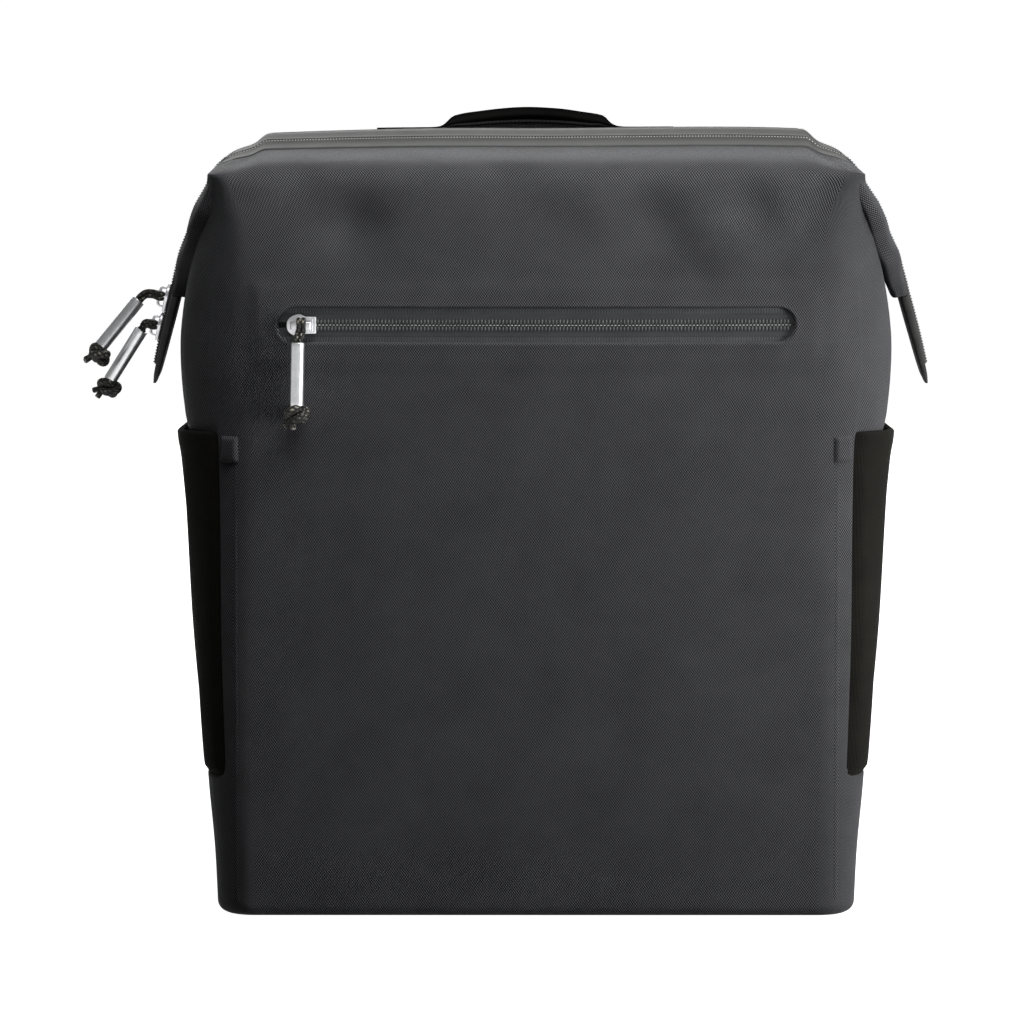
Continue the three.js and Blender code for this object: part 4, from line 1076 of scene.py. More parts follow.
def tied_knot(name, centre, down, turn):
    """An overhand knot of doubled cord, with two cut ends."""
    t = np.linspace(0, 2 * math.pi, 97)
    radius = 1.95
    scale = (KNOT_DIAMETER * 0.57 - radius) / 3
    x = (2 + np.cos(3 * t)) * np.cos(2 * t)
    y = (2 + np.cos(3 * t)) * np.sin(2 * t)
    z = 2.7 * np.sin(3 * t)
    turned = math.radians(turn)
    side = unit(np.cross(down, (0, 1, 0)))
    front = np.cross(side, down)
    first = side * math.cos(turned) + front * math.sin(turned)
    second = np.cross(down, first)
    wound = centre + scale * (np.outer(x, first) + np.outer(y, second)) + np.outer(z * KNOT_FLATNESS, down)
    grids = [tube_grid(wound, radius, 12, down)]
    core = centre + np.outer(np.linspace(-4.4, 4.4, 9), down)
    grids.append(tube_grid(core, 3.1 * np.sqrt(1 - (np.linspace(-0.97, 0.97, 9)) ** 2), 12, first))
    tips = []
    for way in (-0.5, 0.5):
        leaving = unit(down * 1.5 + first * (0.7 + way) + second * way * 1.2)
        start = centre + down * 1.5 + first * 2
        points = start + np.outer(np.linspace(0, 5.6, 7), leaving)
        grids.append(tube_grid(points, 1.4, 10, second))
        cap = points[-1] + np.outer((-0.1, 0.35, 0.45), leaving)
        tips.append(tube_grid(cap, (1.38, 1.2, 0.2), 10, second))
    knot = joined(f"{name}_knot", grids, LOOKS["pull_cord"])
    ends = joined(f"{name}_cord_ends", tips, LOOKS["cord_end"])
    return knot, ends


def pull_tube(name, top, down):
    """An open tube with softly turned edges."""
    outer = PULL_DIAMETER / 2
    inner = CORD_DIAMETER / 2 + GAP
    edge = 0.35
    turned = np.linspace(0, math.pi / 2, 5)
    core = outer - edge
    profile = [(inner, 0.15), (inner + 0.15, 0)]
    profile += [(core + edge * math.sin(a), edge - edge * math.cos(a)) for a in turned]
    profile += [(outer, d) for d in np.linspace(2, PULL_LENGTH - 2, 9)]
    profile += [(core + edge * math.cos(a), PULL_LENGTH - edge + edge * math.sin(a)) for a in turned]
    profile += [(inner + 0.15, PULL_LENGTH), (inner, PULL_LENGTH - 0.15), (inner, 0.15)]
    angle = np.linspace(0, 2 * math.pi, 40, endpoint=False)
    side = unit(np.cross(down, (0, 1, 0)))
    front = np.cross(side, down)
    ring = np.outer(np.cos(angle), side) + np.outer(np.sin(angle), front)
    grid = np.array([top + down * d + ring * r for r, d in profile])
    piece = surface(f"{name}_tube", grid, LOOKS["pull_metal"], True)
    return sharpen(face_out(piece), 50)


def make_pull(key, row, frame_of_slider):
    name = f"{key}_pull_fine"
    line, top, down = pull_line(row)
    cord = ride(doubled_cord(name, row, line), [f"{key}_pull_cord"])
    loop = ride(bridge_loop(name, frame_of_slider))
    tube = ride(pull_tube(name, top, down), [f"{key}_pull_tube"])
    below = PULL_LENGTH + KNOT_DIAMETER / 2 * KNOT_FLATNESS
    centre = top + down * below + np.array(row["knot_off"], float)
    knot, ends = tied_knot(name, centre, down, row["turn"])
    ride(knot, [f"{key}_pull_knot"])
    ride(ends)


# The sliders


def round_edges(work, degrees, width):
    sharp = [e for e in work.edges if e.calc_face_angle(0) > math.radians(degrees)]
    bmesh.ops.bevel(
        work, geom=sharp, offset=width, segments=3, affect="EDGES", profile=0.5, clamp_overlap=True
    )


def prism(outline, depth, edge, name, look):
    """An outline drawn out by a depth, with its edges rounded."""
    work = bmesh.new()
    low = [work.verts.new((x, y, 0)) for x, y in outline]
    high = [work.verts.new((x, y, depth)) for x, y in outline]
    count = len(outline)
    work.faces.new(low[::-1])
    work.faces.new(high)
    for i in range(count):
        work.faces.new((low[i], low[(i + 1) % count], high[(i + 1) % count], high[i]))
    bmesh.ops.recalc_face_normals(work, faces=work.faces)
    round_edges(work, 25, edge)
    mesh = bpy.data.meshes.new(name)
    work.to_mesh(mesh)
    work.free()
    mesh.materials.append(look)
    mesh.polygons.foreach_set("use_smooth", [True] * len(mesh.polygons))
    return mesh


def slider_outline():
    nose, tail = -SLIDER_LENGTH / 2, SLIDER_LENGTH / 2
    half, narrow = SLIDER_WIDTH / 2, SLIDER_WIDTH * 0.38
    right = [(tail, narrow - 0.3), (tail - 0.3, narrow)]
    right += [(SLIDER_LENGTH * 0.17, narrow), (SLIDER_LENGTH * 0.1, narrow + 0.3)]
    for a in np.linspace(0.05, 1.45, 9):
        right.append((-half * math.sin(a) * 1.25 - 0.4, half * math.cos(a) ** 0.8))
    right.append((nose, 0))
    return right[::-1] + [(x, -y) for x, y in right[:-1]]


def bridge_outline():
    half, rise, bar = BRIDGE_LENGTH / 2, BRIDGE_RISE, BRIDGE_BAR
    return [
        (-half, -0.3), (-half, rise - 1.6), (-half + 0.5, rise - 0.5), (-half + 1.6, rise),
        (half - 1.6, rise), (half - 0.5, rise - 0.5), (half, rise - 1.6), (half, -0.3),
        (half - bar, -0.3), (half - bar, rise - bar - 0.5), (half - bar - 0.5, rise - bar),
        (-half + bar + 0.5, rise - bar), (-half + bar, rise - bar - 0.5), (-half + bar, -0.3),
    ]


def transform_mesh(mesh, along, out, at):
    across = np.cross(out, along)
    matrix = Matrix.Identity(4)
    for i, axis in enumerate((along, across, out)):
        matrix.col[i][:3] = axis
    matrix.translation = Vector(at)
    mesh.transform(matrix)
    mesh.transform(Matrix.Scale(MM, 4))
    return mesh


def make_slider(key, frame_of_slider):
    seat, along, out = frame_of_slider
    across = np.cross(out, along)
    work = bmesh.new()
    look = LOOKS["slider_metal"]
    plate = transform_mesh(prism(slider_outline(), SLIDER_PLATE, 0.3, "plate", look), along, out, seat)
    rim = [(x * 0.8 - 0.2, y * 0.78) for x, y in slider_outline()]
    pad_seat = seat + out * (SLIDER_PLATE - 0.1)
    pad = transform_mesh(prism(rim, 0.35, 0.15, "pad", look), along, out, pad_seat)
    bridge = prism(bridge_outline(), BRIDGE_WIDTH, 0.45, "bridge", look)
    bridge = transform_mesh(bridge, along, -across, seat + out * SLIDER_PLATE + across * BRIDGE_WIDTH / 2)
    for mesh in (plate, pad, bridge):
        work.from_mesh(mesh)
    whole = bpy.data.meshes.new(f"{key}_slider_fine")
    work.to_mesh(whole)
    work.free()
    whole.materials.append(look)
    piece = bpy.data.objects.new(f"{key}_slider_fine", whole)
    bpy.context.scene.collection.objects.link(piece)
    ride(sharpen(piece, 40), [f"{key}_slider"])


# The body and its top


def make_body():
    grid, layout = body_grid()
    grid = soften_top_edge(grid, layout)
    rows, columns = grid.shape[:2]
    reference = grid[np.argmin(np.abs(grid[:, 0, 2] - 200))]
    closed = np.vstack([reference, reference[:1]])
    u = run_of(closed)
    whole = u[-1]
    climbed = np.cumsum(np.linalg.norm(np.diff(grid, axis=0), axis=-1), axis=0)
    v = np.concatenate([np.zeros((1, columns)), climbed])
    v = np.broadcast_to(v.mean(1, keepdims=True), v.shape)
    uvs = np.stack([np.broadcast_to(u[:-1], v.shape), v], -1).reshape(-1, 2)
    faces = grid_faces(rows, columns, True)
    faces.append(tuple(range(columns))[::-1])
    body = mesh_object("body_fine", grid.reshape(-1, 3), faces, LOOKS["body_fabric"], uvs)
    weave = body.data.uv_layers["weave"].data
    for row in range(1, rows):
        last = 4 * (row * columns - 1)
        for loop in (last + 1, last + 2):
            weave[loop].uv[0] += whole * MM
    # The second material is the painted shadow for the floor of the zip window
    body.data.materials.append(LOOKS["shadow"])
    shade_window_floor(body)
    ride(body, ["body_shell"])


def shade_window_floor(body):
    """The floor of the zip window, the inside of the pocket, is painted near black as shade."""
    for polygon in body.data.polygons:
        x, y, z = (c / MM for c in polygon.center)
        if y < -60 and stadium(x, z - FRONT_ZIP_CENTRE, FRONT_ZIP_LENGTH, FRONT_ZIP_HEIGHT) < -0.9:
            polygon.material_index = 1


def make_ear(side, word):
    """A folded ear: two layers of fabric with a soft fold along each edge and faint creases."""
    places, _ = wing_rows(side)
    widths = np.array([row[2] for row in EAR]) * EAR_SPREAD
    points, at, outward, spread = along_wing(places[: len(EAR)], side, 46, widths)
    share = at / at[-1]
    thick = EAR_THICKNESS / 2 * (0.55 + 0.6 * np.sin(math.pi * np.clip(share * 0.8 + 0.12, 0, 1)))
    centre = points - outward * thick[:, None]
    across = np.broadcast_to([0.0, 1.0, 0.0], points.shape)
    grid = rounded_band((centre, across, outward, spread, thick), 4.5, 72)
    y = grid[..., 1] / EAR_SPREAD
    run = share[:, None]
    crease = 0.7 * np.sin(9 * y + 7 * run + side) * np.sin(math.pi * run) + 0.5 * np.sin(17 * run - 6 * y)
    grid = grid + outward[:, None] * ((crease - 0.8) * smooth(0, 0.15, run) * 0.5)[..., None]
    piece = joined(f"{word}_ear", [grid], LOOKS["body_fabric"])
    ride(face_out(piece))


def make_tab(side, word):
    """The rubber-coated end of the top zip, slightly ragged along its edges."""
    places, _ = wing_rows(side)
    widths = np.array([row[2] for row in TAB]) * TAB_HALF_WIDTH
    depths = np.array([row[3] for row in TAB]) * TAB_THICKNESS / 2
    points, at, outward, width, thick = along_wing(places[len(EAR) - 1 :], side, 40, widths, depths)
    across = np.broadcast_to([0.0, 1.0, 0.0], points.shape)
    half = thick * 0.86
    ragged = 1 + 0.02 * np.sin(at * 2.3) + 0.02 * np.sin(at * 5.1 + 1)
    centre = points - outward * (half + 0.5)[:, None]
    grid = rounded_band((centre, across, outward, width * ragged, half), 5, 36)
    piece = joined(f"{word}_tab_fine", [grid], LOOKS["tab_rubber"])
    ride(face_out(piece), [f"{word}_zip_end_tab"])


def zip_line(step=1.4):
    """The way of the top zip over wings and top: places, the ways across and out, and its half width."""

    def wing(side):
        end = CORNER_HEIGHT - EAR_DROP - ZIP_END_ALONG_TAB * TAB_DROP
        places, outward = wing_rows(side)
        keep = places[:, 2] > end + 3
        at, out = wing_at(side, end)
        return np.vstack([places[keep], at]), np.vstack([outward[keep], out])

    half_width = float(section_at(CORNER_HEIGHT)["half_width"])
    shares = [0.97, 0.93, 0.88, 0.82, 0.7, 0.5, 0.25]
    xs = np.array([-s for s in shares] + [0] + shares[::-1]) * half_width
    top = np.stack([xs, np.zeros_like(xs), roof_at(xs, np.zeros_like(xs))], -1)
    low = np.stack([xs, np.full_like(xs, -17.0), roof_at(xs, np.full_like(xs, -17.0))], -1)
    high = np.stack([xs, np.full_like(xs, 17.0), roof_at(xs, np.full_like(xs, 17.0))], -1)
    tilt = unit(high - low)
    slope = (roof_at(xs + 1, 0 * xs) - roof_at(xs - 1, 0 * xs)) / 2
    out = unit(np.cross(np.stack([np.ones_like(xs), 0 * xs, slope], -1), tilt))
    left, left_out = wing(-1)
    right, right_out = wing(1)
    flat = np.array([0.0, 1.0, 0.0])
    places = np.vstack([left[::-1], top, right])
    outs = np.vstack([left_out[::-1], out, right_out])
    across = np.vstack([np.tile(flat, (len(left), 1)), tilt, np.tile(flat, (len(right), 1))])
    length = run_of(places)
    at = np.arange(0, length[-1], step)
    resample = lambda values: np.stack([np.interp(at, length, values[:, i]) for i in range(3)], -1)
    places, outs, across = resample(places), unit(resample(outs)), unit(resample(across))
    tab_top = CORNER_HEIGHT - EAR_DROP
    half = TAPE_HALF_WIDTH * (1 - TAPE_TAPER * (1 - smooth(tab_top, CORNER_HEIGHT, places[:, 2])))
    return places, across, outs, half


def make_top_zip():
    """Smooth tape over the top, split at the seam, with the teeth just showing along it."""
    places, across, outs, half = zip_line()
    shares, lift = np.array(TOP_TAPE).T
    grid = (
        places[:, None]
        + across[:, None] * (shares[None, :] * half[:, None])[..., None]
        + outs[:, None] * lift[None, :, None]
    )
    on_top = np.abs(places[:, 0]) < 160
    y = grid[..., 1]
    x = grid[..., 0]
    on_roof = smooth(CORNER_HEIGHT + 3, CORNER_HEIGHT + 8, places[:, 2])[:, None]
    roof = roof_at(x, y) + lift[None, :] + 0.25
    grid[..., 2] = grid[..., 2] * (1 - on_roof) + roof * on_roof
    tape = surface("top_zip_fine", grid, LOOKS["top_tape"])
    ride(tape, ["top_zip"])
    # The teeth showing along the seam are painted pale, a painted highlight on the dark coil
    teeth = []
    for i in range(len(places)):
        if not on_top[i]:
            continue
        place = grid[i, TEETH_COLUMN] + outs[i] * 0.25 - across[i] * 0.35
        teeth.append((place, unit(np.cross(across[i], outs[i])), across[i], outs[i]))
    row = bumps("top_zip_teeth_highlight", teeth, (0.42, 0.55, 0.4), LOOKS["coil_highlight"])
    ride(row)
    coil = []
    for i in range(len(places)):
        if on_top[i] and places[i, 2] > CORNER_HEIGHT + 4:
            continue
        for way in (-1, 1):
            place = places[i] + across[i] * way * 1.5 + outs[i] * 0.75
            coil.append((place, unit(np.cross(across[i], outs[i])), across[i], outs[i]))
    ride(bumps("wing_zip_coil", coil, (0.45, 1.3, 0.55), LOOKS["coil"]))


def bumps(name, frames, half, look):
    """Many small rounded humps, each at a place with its three ways and half sizes."""
    rings = [(1.0, 0.0), (0.85, 0.6), (0.4, 0.93)]
    angle = np.linspace(0, 2 * math.pi, 8, endpoint=False)
    template = [(r * math.cos(a), r * math.sin(a), h) for r, h in rings for a in angle] + [(0, 0, 1)]
    template = np.array(template) * np.array(half)
    count = len(template)
    faces = grid_faces(3, 8, True) + [(16 + i, 16 + (i + 1) % 8, 24) for i in range(8)]
    points, all_faces = [], []
    for n, (at, first, second, third) in enumerate(frames):
        points.append(at + template @ np.array([first, second, third]))
        all_faces.extend(tuple(i + n * count for i in f) for f in faces)
    points = np.vstack(points)
    return mesh_object(name, points, all_faces, look, np.zeros((len(points), 2)))


# The front zip


def front_strip(name, low, high, look, lift, step=0.9):
    """A strip of the front zip between two heights from its centre, cut to the round ends of its window."""
    radius = FRONT_ZIP_HEIGHT / 2 - GAP
    reach = FRONT_ZIP_LENGTH / 2 - FRONT_ZIP_HEIGHT / 2
    zs = np.linspace(low, high, 9)
    base = np.linspace(-1, 1, int(2 * reach / step))
    rows = []
    for z in zs:
        end = reach + math.sqrt(max(radius**2 - min(abs(z), radius) ** 2, 0))
        xs = base * end
        y = front_at(xs, np.full_like(xs, FRONT_ZIP_CENTRE)) + FRONT_TAPE_DEPTH - lift(z, xs)
        rows.append(np.stack([xs, y, np.full_like(xs, FRONT_ZIP_CENTRE + z)], -1))
    grid = np.array(rows)
    uvs = np.stack([grid[..., 0], grid[..., 2]], -1).reshape(-1, 2)
    return mesh_object(name, grid.reshape(-1, 3), grid_faces(*grid.shape[:2]), look, uvs)


def make_front_zip():
    """Two coated tapes with ribs near their edges, a coil on each, and a painted highlight along the line
    where they meet.
    """
    half = FRONT_ZIP_HEIGHT / 2 - GAP
    opened = lambda x: 0.15 + 1.25 * (1 - smooth(-118, -108, x))
    flat = lambda z, x: 0.0 * x
    hem = lambda z, x: 0.0 * x + 0.25 * math.exp(-((abs(z) - 4.9) ** 2) / 0.5)
    parts = []
    for way, word in ((1, "upper"), (-1, "lower")):
        edge = sorted((way * 5.4, way * half))
        middle = sorted((way * 0.15, way * 5.4))
        parts.append(front_strip(f"front_zip_{word}_ribs", *edge, LOOKS["ribbed_tape"], flat))
        parts.append(front_strip(f"front_zip_{word}_tape", *middle, LOOKS["zip_tape"], hem))
    for strip in parts[1::2]:
        for vertex in strip.data.vertices:
            x, z = vertex.co.x / MM, vertex.co.z / MM - FRONT_ZIP_CENTRE
            room = float(opened(x)) - 0.15
            vertex.co.z += math.copysign(room * max(0, 1 - abs(z) / 5.4), z) * MM
    ride(parts[0], ["front_zip"])
    for piece in parts[1:]:
        ride(piece)
    pitch = 1.65
    start, end = FRONT_SLIDER_AT + SLIDER_LENGTH / 2 - 1, FRONT_ZIP_LENGTH / 2 - 3
    coil, centre = [], []
    lean = unit(np.array([0.16, 0, 1.0]))
    for x in np.arange(start, end, pitch):
        y = float(front_at(x, FRONT_ZIP_CENTRE)) + FRONT_TAPE_DEPTH
        for way in (-1, 1):
            place = np.array([x, y - 0.05, FRONT_ZIP_CENTRE + way * 1.62])
            coil.append((place, np.cross(lean, (0, -1.0, 0)), lean, np.array([0, -1.0, 0])))
        # Pale bumps along the line where the coils meet: a painted highlight
        middle = np.array([x + pitch / 2, y - 0.1, FRONT_ZIP_CENTRE])
        centre.append((middle, np.array([1.0, 0, 0]), np.array([0, 0, 1.0]), np.array([0, -1.0, 0])))
    ride(bumps("front_zip_coil", coil, (0.5, 1.15, 0.75), LOOKS["coil"]))
    ride(bumps("front_zip_meeting_highlight", centre, (0.6, 0.2, 0.34), LOOKS["coil_highlight"]))


# The side pockets and their tabs


def pocket_run(height, count=60):
    """Places on the right side that a pocket covers at a height, the way out, and the share along it."""
    s = section_at(height)
    corner = float(s["corner"])
    bend = math.radians(90 - POCKET_FRONT_TURN) * corner
    length = 2 * (float(s["half_depth"]) - corner)
    shares = np.linspace(0, 1, count)
    distance = shares * (bend + length)
    angle = np.where(distance < bend, -math.radians(90 - POCKET_FRONT_TURN) + distance / corner, 0)
    my = np.where(distance < bend, -1, -1 + 2 * (distance - bend) / length)
    layout = np.stack([np.ones(count), my, np.cos(angle), np.sin(angle)], -1)
    out_x, out_y, *_ = plan_ring(layout, height)
    places = np.stack([out_x, out_y, np.full(count, height)], -1)
    return places, np.stack([np.cos(angle), np.sin(angle), 0 * angle], -1), shares


def make_pocket(side, word):
    """Stretch fabric let in under the body's edge, tight round the corner, with a rolled hem at its rim."""
    ups = [0, 0.004, 0.012, 0.025, 0.05, *np.linspace(0.09, 0.9, 22), *np.linspace(0.92, 1, 9)]
    rows = []
    for up in ups:
        level = POCKET_BOTTOM + up * (POCKET_FRONT_HEIGHT - POCKET_BOTTOM)
        base, out, shares = pocket_run(level)
        fall = POCKET_RIM_FALL * smooth(0, 0.7, shares) * up
        edge = np.minimum(np.minimum(shares, 1 - shares) * 150, up * (POCKET_FRONT_HEIGHT - POCKET_BOTTOM))
        proud = -0.9 + (GAP + POCKET_WALL + 0.9) * smooth(0, 5, edge)
        proud = proud + POCKET_FLARE * np.sin(math.pi * shares) * up**3
        crease = 0.5 * np.sin(shares * 21 + up * 5) * np.sin(math.pi * up) * smooth(0, 0.2, shares)
        proud = proud + crease * smooth(4, 14, edge)
        rows.append(base + out * proud[:, None] + np.stack([0 * fall, 0 * fall, -fall], -1))
    hem = 1.5
    top = rows[-1]
    for angle in np.linspace(0, math.pi, 9)[1:]:
        rows.append(top - out * (hem * (1 - math.cos(angle))) + np.array([0, 0, hem * math.sin(angle)]))
    inner = rows[-1]
    for drop in (4, 9, 14):
        rows.append(inner + np.array([0, 0, -drop]) - out * 0.2)
    grid = np.array(rows)
    bulge = np.exp(-((np.arange(len(grid)) - len(ups) + 3) / 3.5) ** 2)
    grid = grid + out[None] * (bulge[:, None] * 0.55 * np.sin(math.pi * shares)[None] ** 0.5)[..., None]
    grid[..., 0] *= side
    piece = surface(f"{word}_pocket_fine", grid, LOOKS["pocket_fabric"])
    ride(piece, [f"{word}_side_pocket"])


def front_skin(x, height):
    """The front of the body near a corner, where it is already rounding towards the side."""
    layout = ring_layout()
    out_x, out_y, *_ = plan_ring(layout, height)
    keep = (out_y < 0) & (out_x > 0) & ((layout[:, 2] == 0) | (layout[:, 3] < 0))
    order = np.argsort(out_x[keep])
    return float(np.interp(x, out_x[keep][order], out_y[keep][order]))


def make_pocket_tab(side, word):
    """A small folded tab of body fabric, sewn flat on the front beside the pocket's rim."""
    box_low, box_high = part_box(f"{word}_pocket_tab")
    low = np.array(box_low) / MM
    high = np.array(box_high) / MM
    inner, outer = sorted((abs(low[0]), abs(high[0])))
    rows = []
    for t in np.linspace(0, 1, 15):
        height = low[2] + t * (high[2] - low[2])
        row = []
        for s in np.linspace(-1, 1, 15):
            x = (inner + outer) / 2 + s * (outer - inner) / 2
            edge = min(1 - abs(s), (1 - abs(2 * t - 1)) * 1.4)
            lift = 0.2 + 1.7 * smooth(0, 0.3, edge) - 0.25 * math.exp(-((abs(s) - 0.68) ** 2) / 0.004)
            base = front_skin(x, height)
            slope = front_skin(x + 0.5, height) - front_skin(x - 0.5, height)
            out = unit(np.array([slope, -1.0, 0]))
            row.append(np.array([x, base, height]) + out * lift)
        rows.append(row)
    grid = np.array(rows)
    grid[..., 0] *= side
    piece = surface(f"{word}_pocket_tab_fine", grid, LOOKS["body_fabric"])
    ride(piece, [f"{word}_pocket_tab"])


def make_weld_seam(side, word):
    """A narrow rib down the front where the side panel is welded on."""
    rows = []
    for height in np.linspace(8, 216, 53):
        row = []
        for off, lift in ((-1.3, -0.1), (-0.8, 0.14), (0, 0.22), (0.7, 0.16), (1.3, -0.12)):
            x = 140 + off
            row.append((side * x, front_skin(x, height) - lift, height))
        rows.append(row)
    ride(surface(f"{word}_weld_seam", np.array(rows), LOOKS["body_fabric"]))


# The handle, straps and fittings


def handle_stations(count=90):
    feet = float(section_at(CORNER_HEIGHT)["half_depth"]) - HANDLE_FROM_BACK
    near, far = (float(roof_at(HANDLE_CENTRE, feet + way * HANDLE_HALF_WIDTH)) for way in (-1, 1))
    foot_tilt = math.atan2(near - far, 2 * HANDLE_HALF_WIDTH)
    full_tilt = math.radians(HANDLE_TILT)
    along = np.linspace(HANDLE[0][0], HANDLE[-1][0], count)
    rise = between(HANDLE, HANDLE_COLUMNS, along, "rise")
    thick = between(HANDLE, HANDLE_COLUMNS, along, "thick") * HANDLE_THICKNESS / 2
    thick = thick * (0.35 + 0.65 * smooth(0, 0.3, rise))
    x = HANDLE_CENTRE + along * HANDLE_SPAN / 2
    tilt = foot_tilt + (full_tilt - foot_tilt) * rise
    across = np.stack([np.zeros(count), np.cos(tilt), -np.sin(tilt)], -1)
    lanes = [share * HANDLE_HALF_WIDTH for share in (-1, -0.5, 0, 0.5, 1)]
    heights = [roof_at(x, feet + lane * across[:, 1]) - lane * across[:, 2] for lane in lanes]
    under = np.max(heights, axis=0)
    low = under - 0.5 + thick
    high = HANDLE_TOP + HANDLE_HALF_WIDTH * across[:, 2] - thick * across[:, 1]
    at = np.stack([x, feet + HANDLE_LEAN * rise, low * (1 - rise) + high * rise], -1)
    out = unit(np.cross(np.gradient(at, axis=0), across))
    return at, across, out, np.full(count, float(HANDLE_HALF_WIDTH)), thick, rise


def make_handle():
    """A knitted band with ribs across it, over a second dark layer, both sewn flat at their feet."""
    at, across, out, wide, thick, rise = handle_stations()
    grid = rounded_band((at, across, out, wide, thick), 3.4, 40)
    upper = joined("handle_fine", [grid], LOOKS["handle_knit"])
    below = at - out * (thick * 0.7 + 2.2 * rise)[:, None]
    under = rounded_band((below, across, out, wide * 0.9, thick * 0.45), 3, 32)
    lower = joined("handle_lining", [under], LOOKS["webbing"])
    ride(face_out(upper), ["top_handle"])
    ride(face_out(lower))
    feet = []
    for i in (3, len(at) - 4):
        along = unit(np.cross(out[i], across[i]))
        for share in np.linspace(-0.75, 0.75, 11):
            place = at[i] + across[i] * share * HANDLE_HALF_WIDTH + out[i] * thick[i]
            feet.append((place, across[i], along, out[i]))
    ride(bumps("handle_stitches", feet, (0.8, 0.35, 0.35), LOOKS["webbing"]))


def strap_end(side):
    rows = strap_line(side, np.array([1.0]))
    end = rows[0][0]
    height = ANCHOR_HEIGHT + ANCHOR_LENGTH / 2
    x = side * ANCHOR_AT
    off = 2 * GAP + ANCHOR_THICKNESS + WEBBING_THICKNESS / 2
    foot = np.array([x, float(back_at(x, height)) + off, height])
    return end, foot, unit(foot - end)


def strap_line(side, down):
    take = lambda column: between(STRAP, STRAP_COLUMNS, down, column)
    height = STRAP_TOP + (STRAP_BOTTOM - STRAP_TOP) * down
    x = side * (STRAP_TOP_AT + (STRAP_BOTTOM_AT - STRAP_TOP_AT) * take("out"))
    thick = take("thick") * STRAP_THICKNESS
    y = back_at(x, height) + 2 * GAP + YOKE_THICKNESS + thick / 2 + STRAP_BOW * take("bow")
    return np.stack([x, y, height], -1), take("width") * STRAP_WIDTH / 2, thick / 2


def make_strap(side, word):
    """A padded strap with a bound edge, quilted once along its middle."""
    down = np.linspace(0, 1, 80)
    points, wide, thick = strap_line(side, down)
    along = unit(np.gradient(points, axis=0))
    across = unit(np.cross(along, (0.0, 1.0, 0.0)))
    out = unit(np.cross(across, along))
    grid = rounded_band((points, across, out, wide, thick), 2.6, 56)
    angle = np.linspace(0, 2 * math.pi, 56, endpoint=False)
    groove = 1.3 * np.exp(-((np.abs(np.cos(angle)) - 0.55) / 0.07) ** 2)
    sign = np.sign(np.sin(angle))
    quilted = smooth(0.04, 0.12, down) * smooth(0, 0.1, 1 - down)
    grid = grid - out[:, None] * (groove * sign * quilted[:, None])[..., None]
    piece = joined(f"{word}_strap_fine", [grid], LOOKS["strap_fabric"])
    ride(face_out(piece), [f"{word}_shoulder_strap"])
    edges = []
    for way in (-1, 1):
        line = points + across * (way * (wide - 0.4))[:, None]
        edges.append(tube_grid(line[2:-2], 1.5, 10, (0, 1, 0)))
    ride(joined(f"{word}_strap_binding", edges, LOOKS["webbing"]))


def make_webbing(side, word):
    end, foot, down = strap_end(side)
    start = end + down * (LOCK_HEIGHT - 6)
    share = np.linspace(0, 1, 40)
    points = start + np.outer(share, foot - start) - np.outer(np.sin(math.pi * share), (0, WEBBING_SAG, 0))
    points[0] += down * 0.1
    along = unit(np.gradient(points, axis=0))
    across = unit(np.cross(along, (0.0, 1.0, 0.0)))
    out = unit(np.cross(across, along))
    half = np.full(len(points), WEBBING_WIDTH / 2)
    grid = rounded_band((points, across, out, half, np.full(len(points), WEBBING_THICKNESS / 2)), 6, 28)
    piece = joined(f"{word}_webbing_fine", [grid], LOOKS["webbing"])
    ride(face_out(piece), [f"{word}_strap_webbing"])


def patch_grid(centre, half_width, low, high, thickness, count=30):
    """A flat sewn patch on the back, with soft edges."""
    rows = []
    for t in np.linspace(0, 1, 16):
        height = low + (high - low) * t
        row = []
        for s in np.linspace(-1, 1, count):
            x = centre + s * half_width
            inside = min((1 - abs(s)) * half_width, (1 - abs(2 * t - 1)) * (high - low) / 2)
            lift = thickness * smooth(-0.5, 1.6, inside) - 0.5 * math.exp(-((inside - 3.2) ** 2) / 0.5)
            row.append((x, float(back_at(x, height)) + max(lift, 0.15), height))
        rows.append(row)
    return np.array(rows)


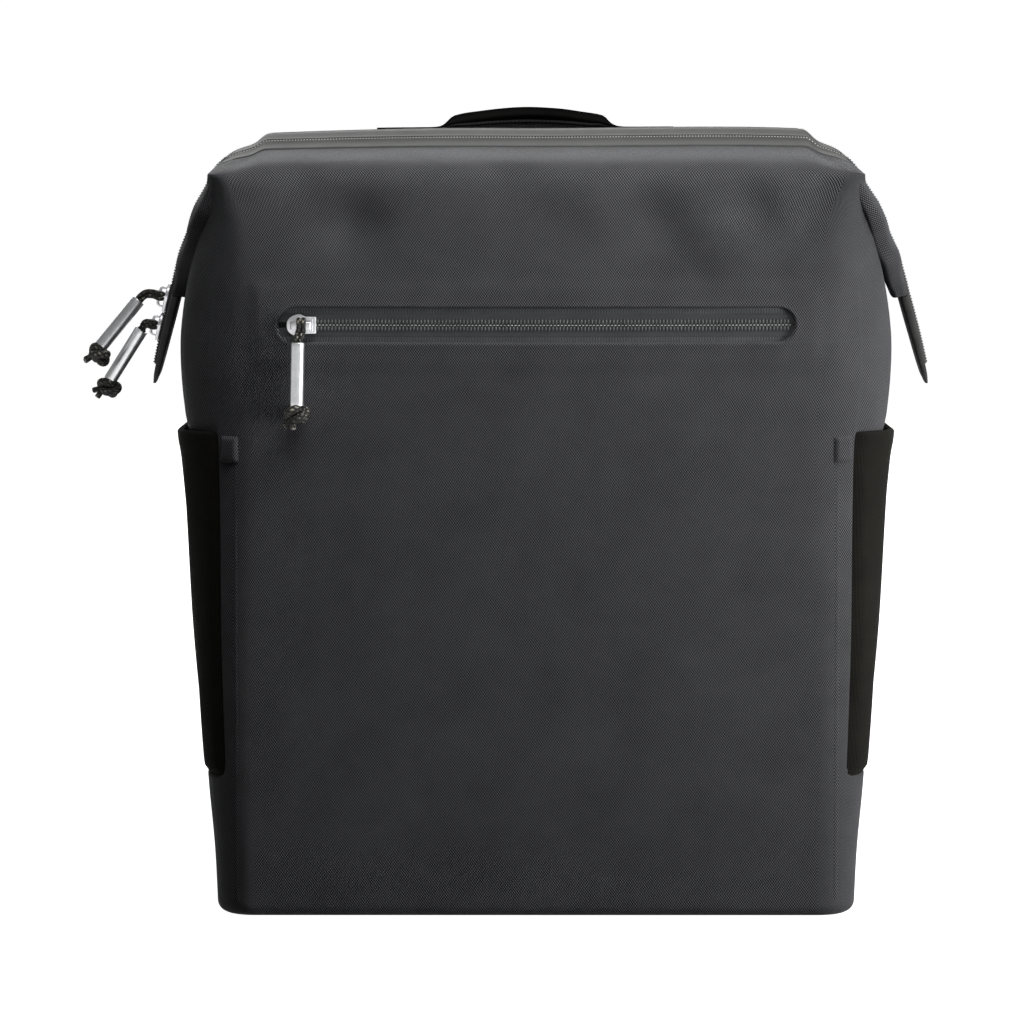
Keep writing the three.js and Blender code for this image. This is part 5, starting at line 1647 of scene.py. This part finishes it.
def make_patches():
    low = YOKE_CENTRE - YOKE_HEIGHT / 2
    grid = patch_grid(0, YOKE_HALF_WIDTH, low, low + YOKE_HEIGHT, YOKE_THICKNESS, 60)
    ride(surface("yoke_fine", grid, LOOKS["webbing"]), ["strap_yoke"])
    for word, side in (("left", -1), ("right", 1)):
        foot = ANCHOR_HEIGHT - ANCHOR_LENGTH / 2
        grid = patch_grid(side * ANCHOR_AT, ANCHOR_HALF_WIDTH, foot, foot + ANCHOR_LENGTH, ANCHOR_THICKNESS)
        ride(surface(f"{word}_anchor_fine", grid, LOOKS["webbing"]), [f"{word}_lower_anchor"])


def make_ladder_locks():
    """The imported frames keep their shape, with softened edges and a moulded finish."""
    for word in ("left", "right"):
        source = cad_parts[f"{word}_ladder_lock"]
        work = bmesh.new()
        work.from_mesh(source.data)
        bmesh.ops.remove_doubles(work, verts=work.verts, dist=1e-6)
        bmesh.ops.dissolve_limit(work, angle_limit=math.radians(2), verts=work.verts, edges=work.edges)
        round_edges(work, 30, LOCK_EDGE * MM)
        mesh = bpy.data.meshes.new(f"{word}_lock_fine")
        work.to_mesh(mesh)
        work.free()
        mesh.materials.clear()
        mesh.materials.append(LOOKS["buckle_plastic"])
        mesh.polygons.foreach_set("use_smooth", [True] * len(mesh.polygons))
        piece = bpy.data.objects.new(f"{word}_lock_fine", mesh)
        bpy.context.scene.collection.objects.link(piece)
        ride(sharpen(piece, 40), [f"{word}_ladder_lock"])


make_camera()
sliders = slider_frames()
for key, row in PULLS.items():
    make_pull(key, row, sliders[key])
make_light()
make_floor()
for key in PULLS:
    make_slider(key, sliders[key])
make_body()
make_top_zip()
make_front_zip()
for word, side in (("left", -1), ("right", 1)):
    make_ear(side, word)
    make_tab(side, word)
    make_pocket(side, word)
    make_pocket_tab(side, word)
    make_weld_seam(side, word)
    make_strap(side, word)
    make_webbing(side, word)
make_handle()
make_patches()
make_ladder_locks()

bpy.context.scene.view_settings.view_transform = "Standard"
bpy.context.view_layer.update()
